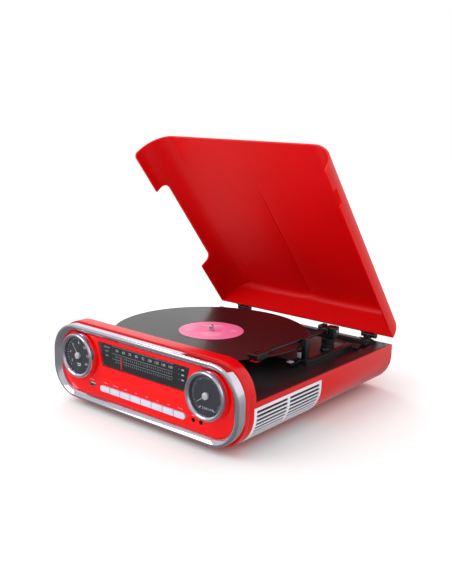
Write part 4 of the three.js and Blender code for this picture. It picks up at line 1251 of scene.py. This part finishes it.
def hinge_base(x):
    """The part on the plinth: a screwed plate, the middle knuckle and the pin."""
    face = DEPTH + GAP
    plate = rounded(block((x - 13, x + 13), (face, face + PLATE_THICK), (38, 66)), 0.7)
    arm = block((x - 5, x + 5), (face, HINGE_Y), (60, HINGE_Z))
    knuckle = rod(KNUCKLE_RADIUS, "X", (HINGE_Y, HINGE_Z), x - 5, x + 5)
    pin = rounded(rod(2, "X", (HINGE_Y, HINGE_Z), x - 13, x + 13), 0.4)
    return fuse(plate, arm, knuckle, pin)


def hinge_screws(x, heights):
    face = DEPTH + GAP + PLATE_THICK
    profile = [(0, 0.05), (2.6, 0.05), (2.4, 0.9), (1.6, 1.4), (0, 1.5)]
    head = cut(lathe(profile, (0, 0), "Y", 32), block((-2, 2), (0.8, 3), (-0.3, 0.3)))
    places = [(x + side, face, z) for z in heights for side in (-8, 8)]
    return together(*(moved(head, Matrix.Translation(place)) for place in places))


def make_lid():
    add("lid_cover", lid(), "lid_red", "lid", ["lid_shell"], bevel=0.8, shut_lid=True)
    soft = {"bevel": 0.3, "segments": 2}
    for word in ("left", "right"):
        x = middle(f"hinge_base_{word}").x
        leaf = [f"hinge_leaf_{word}"]
        add(f"hinge_plate_{word}", hinge_leaf(x), "black", "lid", leaf, shut_lid=True, **soft)
        add(f"hinge_mount_{word}", hinge_base(x), "black", "base", [f"hinge_base_{word}"], **soft)
        add(f"hinge_screws_lid_{word}", hinge_screws(x, (82, 94)), "steel", "lid", shut_lid=True)
        add(f"hinge_screws_base_{word}", hinge_screws(x, (43, 55)), "steel", "base")


def make_rear():
    """Two phono sockets with coloured rings, and the power inlet."""
    inside = DEPTH - WALL - GAP
    outside = DEPTH + 4
    body = block((-100, -38), (inside - 12, inside), (REAR_Z - 9, REAR_Z + 9))
    barrel = rod(POWER_RADIUS, "Y", (POWER_X, REAR_Z), inside - 1, DEPTH)
    bore = rod(3, "Y", (POWER_X, REAR_Z), DEPTH - 9, outside)
    sleeves = [rod(RCA_RADIUS, "Y", (x, REAR_Z), inside - 1, DEPTH + 0.6) for x in RCA_X]
    sockets_block = cut(fuse(body, barrel, *sleeves), bore)
    add("rear_socket_block", sockets_block, "black", "base", ["rear_sockets"], bevel=0.2, segments=2)
    add("power_pin", rod(0.9, "Y", (POWER_X, REAR_Z), DEPTH - 8.9, DEPTH - 0.8, 24), "steel", "base")
    for x, finish, word in zip(RCA_X, ("white", "signal"), ("left", "right")):
        profile = [(3.2, DEPTH + 0.7), (4.9, DEPTH + 0.7), (4.9, DEPTH + 1.7), (3.2, DEPTH + 1.7)]
        add(f"phono_ring_{word}", lathe(profile, (x, REAR_Z), "Y", 48), finish, "base", bevel=0.2)
        profile = [(0, DEPTH - 1.9), (1.7, DEPTH - 1.9), (1.7, outside), (2.6, outside)]
        profile += [(3, outside - 0.4), (3, DEPTH - 2.3), (0, DEPTH - 2.3)]
        add(f"phono_barrel_{word}", lathe(profile, (x, REAR_Z), "Y", 40), "steel", "base")


# ---------- stage ----------


def aim_camera():
    """The camera stands right of the front and a little above the lid hinge."""
    azimuth, elevation, roll = (math.radians(angle) for angle in (38.66, 13.33, 1.57))
    distance = 1.2016
    right = Vector((math.cos(azimuth), math.sin(azimuth), 0))
    level = Vector((math.sin(azimuth), -math.cos(azimuth), 0))
    back = level * math.cos(elevation) + Vector((0, 0, math.sin(elevation)))
    up = back.cross(right)
    target = PLACE @ Vector((0, 168, 60)) + (right * 25.84 + up * 86.19) * MM
    across = right * math.cos(roll) + up * math.sin(roll)
    above = up * math.cos(roll) - right * math.sin(roll)
    camera = new_object("camera", bpy.data.cameras.new("camera"))
    facing = Matrix((across, above, back)).transposed().to_4x4()
    camera.matrix_world = Matrix.Translation(target + back * distance) @ facing
    camera.data.sensor_fit = "VERTICAL"
    camera.data.sensor_height = 36
    camera.data.lens = 49.1
    camera.data.shift_x = -0.017
    camera.data.shift_y = 0.0099
    camera.data.clip_start = 0.05
    bpy.context.scene.camera = camera


# Brightness of the surroundings: (place along the axis from 0 to 1, value).
GLOSSY_HEIGHT = ((0.0, 0.22), (0.3, 0.3), (0.44, 0.42), (0.5, 0.5), (0.56, 0.8), (0.7, 0.9), (1.0, 0.75))
GLOSSY_DEPTH = ((0.0, 0.75), (0.5, 0.8), (0.7, 1.15), (1.0, 1.25))
MATT_SIDE = ((0.0, 1.5), (0.5, 1.16), (0.8, 0.72), (1.0, 0.6))
LIGHT_AIM = Vector((0, 0, 0.1))


def soft_light(name, place, width, height, power):
    light = bpy.data.lights.new(name, "AREA")
    light.shape = "RECTANGLE"
    light.size, light.size_y = width, height
    light.energy = power
    obj = new_object(name, light)
    obj.location = place
    obj.rotation_euler = (LIGHT_AIM - Vector(place)).to_track_quat("-Z", "Y").to_euler()


def graded(tree, share, stops):
    """A brightness that follows a direction's share along an axis, from -1 to 1."""
    place = make_node(tree, "MapRange", "Result", {"Value": share, "From Min": -1})
    brightness = make_node(tree, "ValToRGB", "Color", {"Fac": place})
    elements = brightness.node.color_ramp.elements
    while len(elements) < len(stops):
        elements.new(0.5)
    for element, (position, value) in zip(elements, stops):
        element.position = position
        element.color = (value, value, value, 1)
    return brightness


def studio_world():
    """White to the camera. Matt surfaces see less light from the right, and glossy ones a dim lower half."""
    world = bpy.data.worlds.new("studio")
    world.use_nodes = True
    tree = world.node_tree
    direction = make_node(tree, "TexCoord", "Generated", {})
    along = make_node(tree, "SeparateXYZ", "X", {"Vector": direction}).node.outputs
    ray = make_node(tree, "LightPath", "Is Camera Ray", {}).node.outputs
    height = graded(tree, along["Z"], GLOSSY_HEIGHT)
    glossy = mixed(tree, 1, height, graded(tree, along["Y"], GLOSSY_DEPTH), "MULTIPLY")
    unseen = mixed(tree, ray["Is Glossy Ray"], graded(tree, along["X"], MATT_SIDE), glossy)
    backdrop = mixed(tree, ray["Is Camera Ray"], unseen, (1, 1, 1, 1))
    feed(tree, tree.nodes["Background"], {"Color": backdrop})
    return world


def make_stage():
    bpy.context.scene.world = studio_world()
    bpy.context.scene.view_settings.view_transform = "Standard"

    bm = bmesh.new()
    bmesh.ops.create_circle(bm, cap_ends=True, segments=64, radius=6)
    mesh = bpy.data.meshes.new("floor")
    bm.to_mesh(mesh)
    bm.free()
    material, tree, shader = new_material("floor")
    feed(tree, shader, {"Base Color": (0.96, 0.96, 0.96, 1), "Roughness": 0.9, "Specular IOR Level": 0})
    mesh.materials.append(material)
    floor = new_object("floor", mesh)
    floor.location = (0, 0, cad_low.z - 0.5 * MM)
    floor.visible_glossy = False

    soft_light("key", (-0.9, -1.6, 1.5), 1.4, 1.0, 11)
    soft_light("right", (1.9, -0.4, 1.3), 1.0, 1.4, 2.5)
    soft_light("back", (-1.5, 1.3, 1.7), 0.9, 0.5, 8)


aim_camera()
make_stage()
make_case()
make_front()
make_turntable()
make_arm()
make_lid()
make_rear()
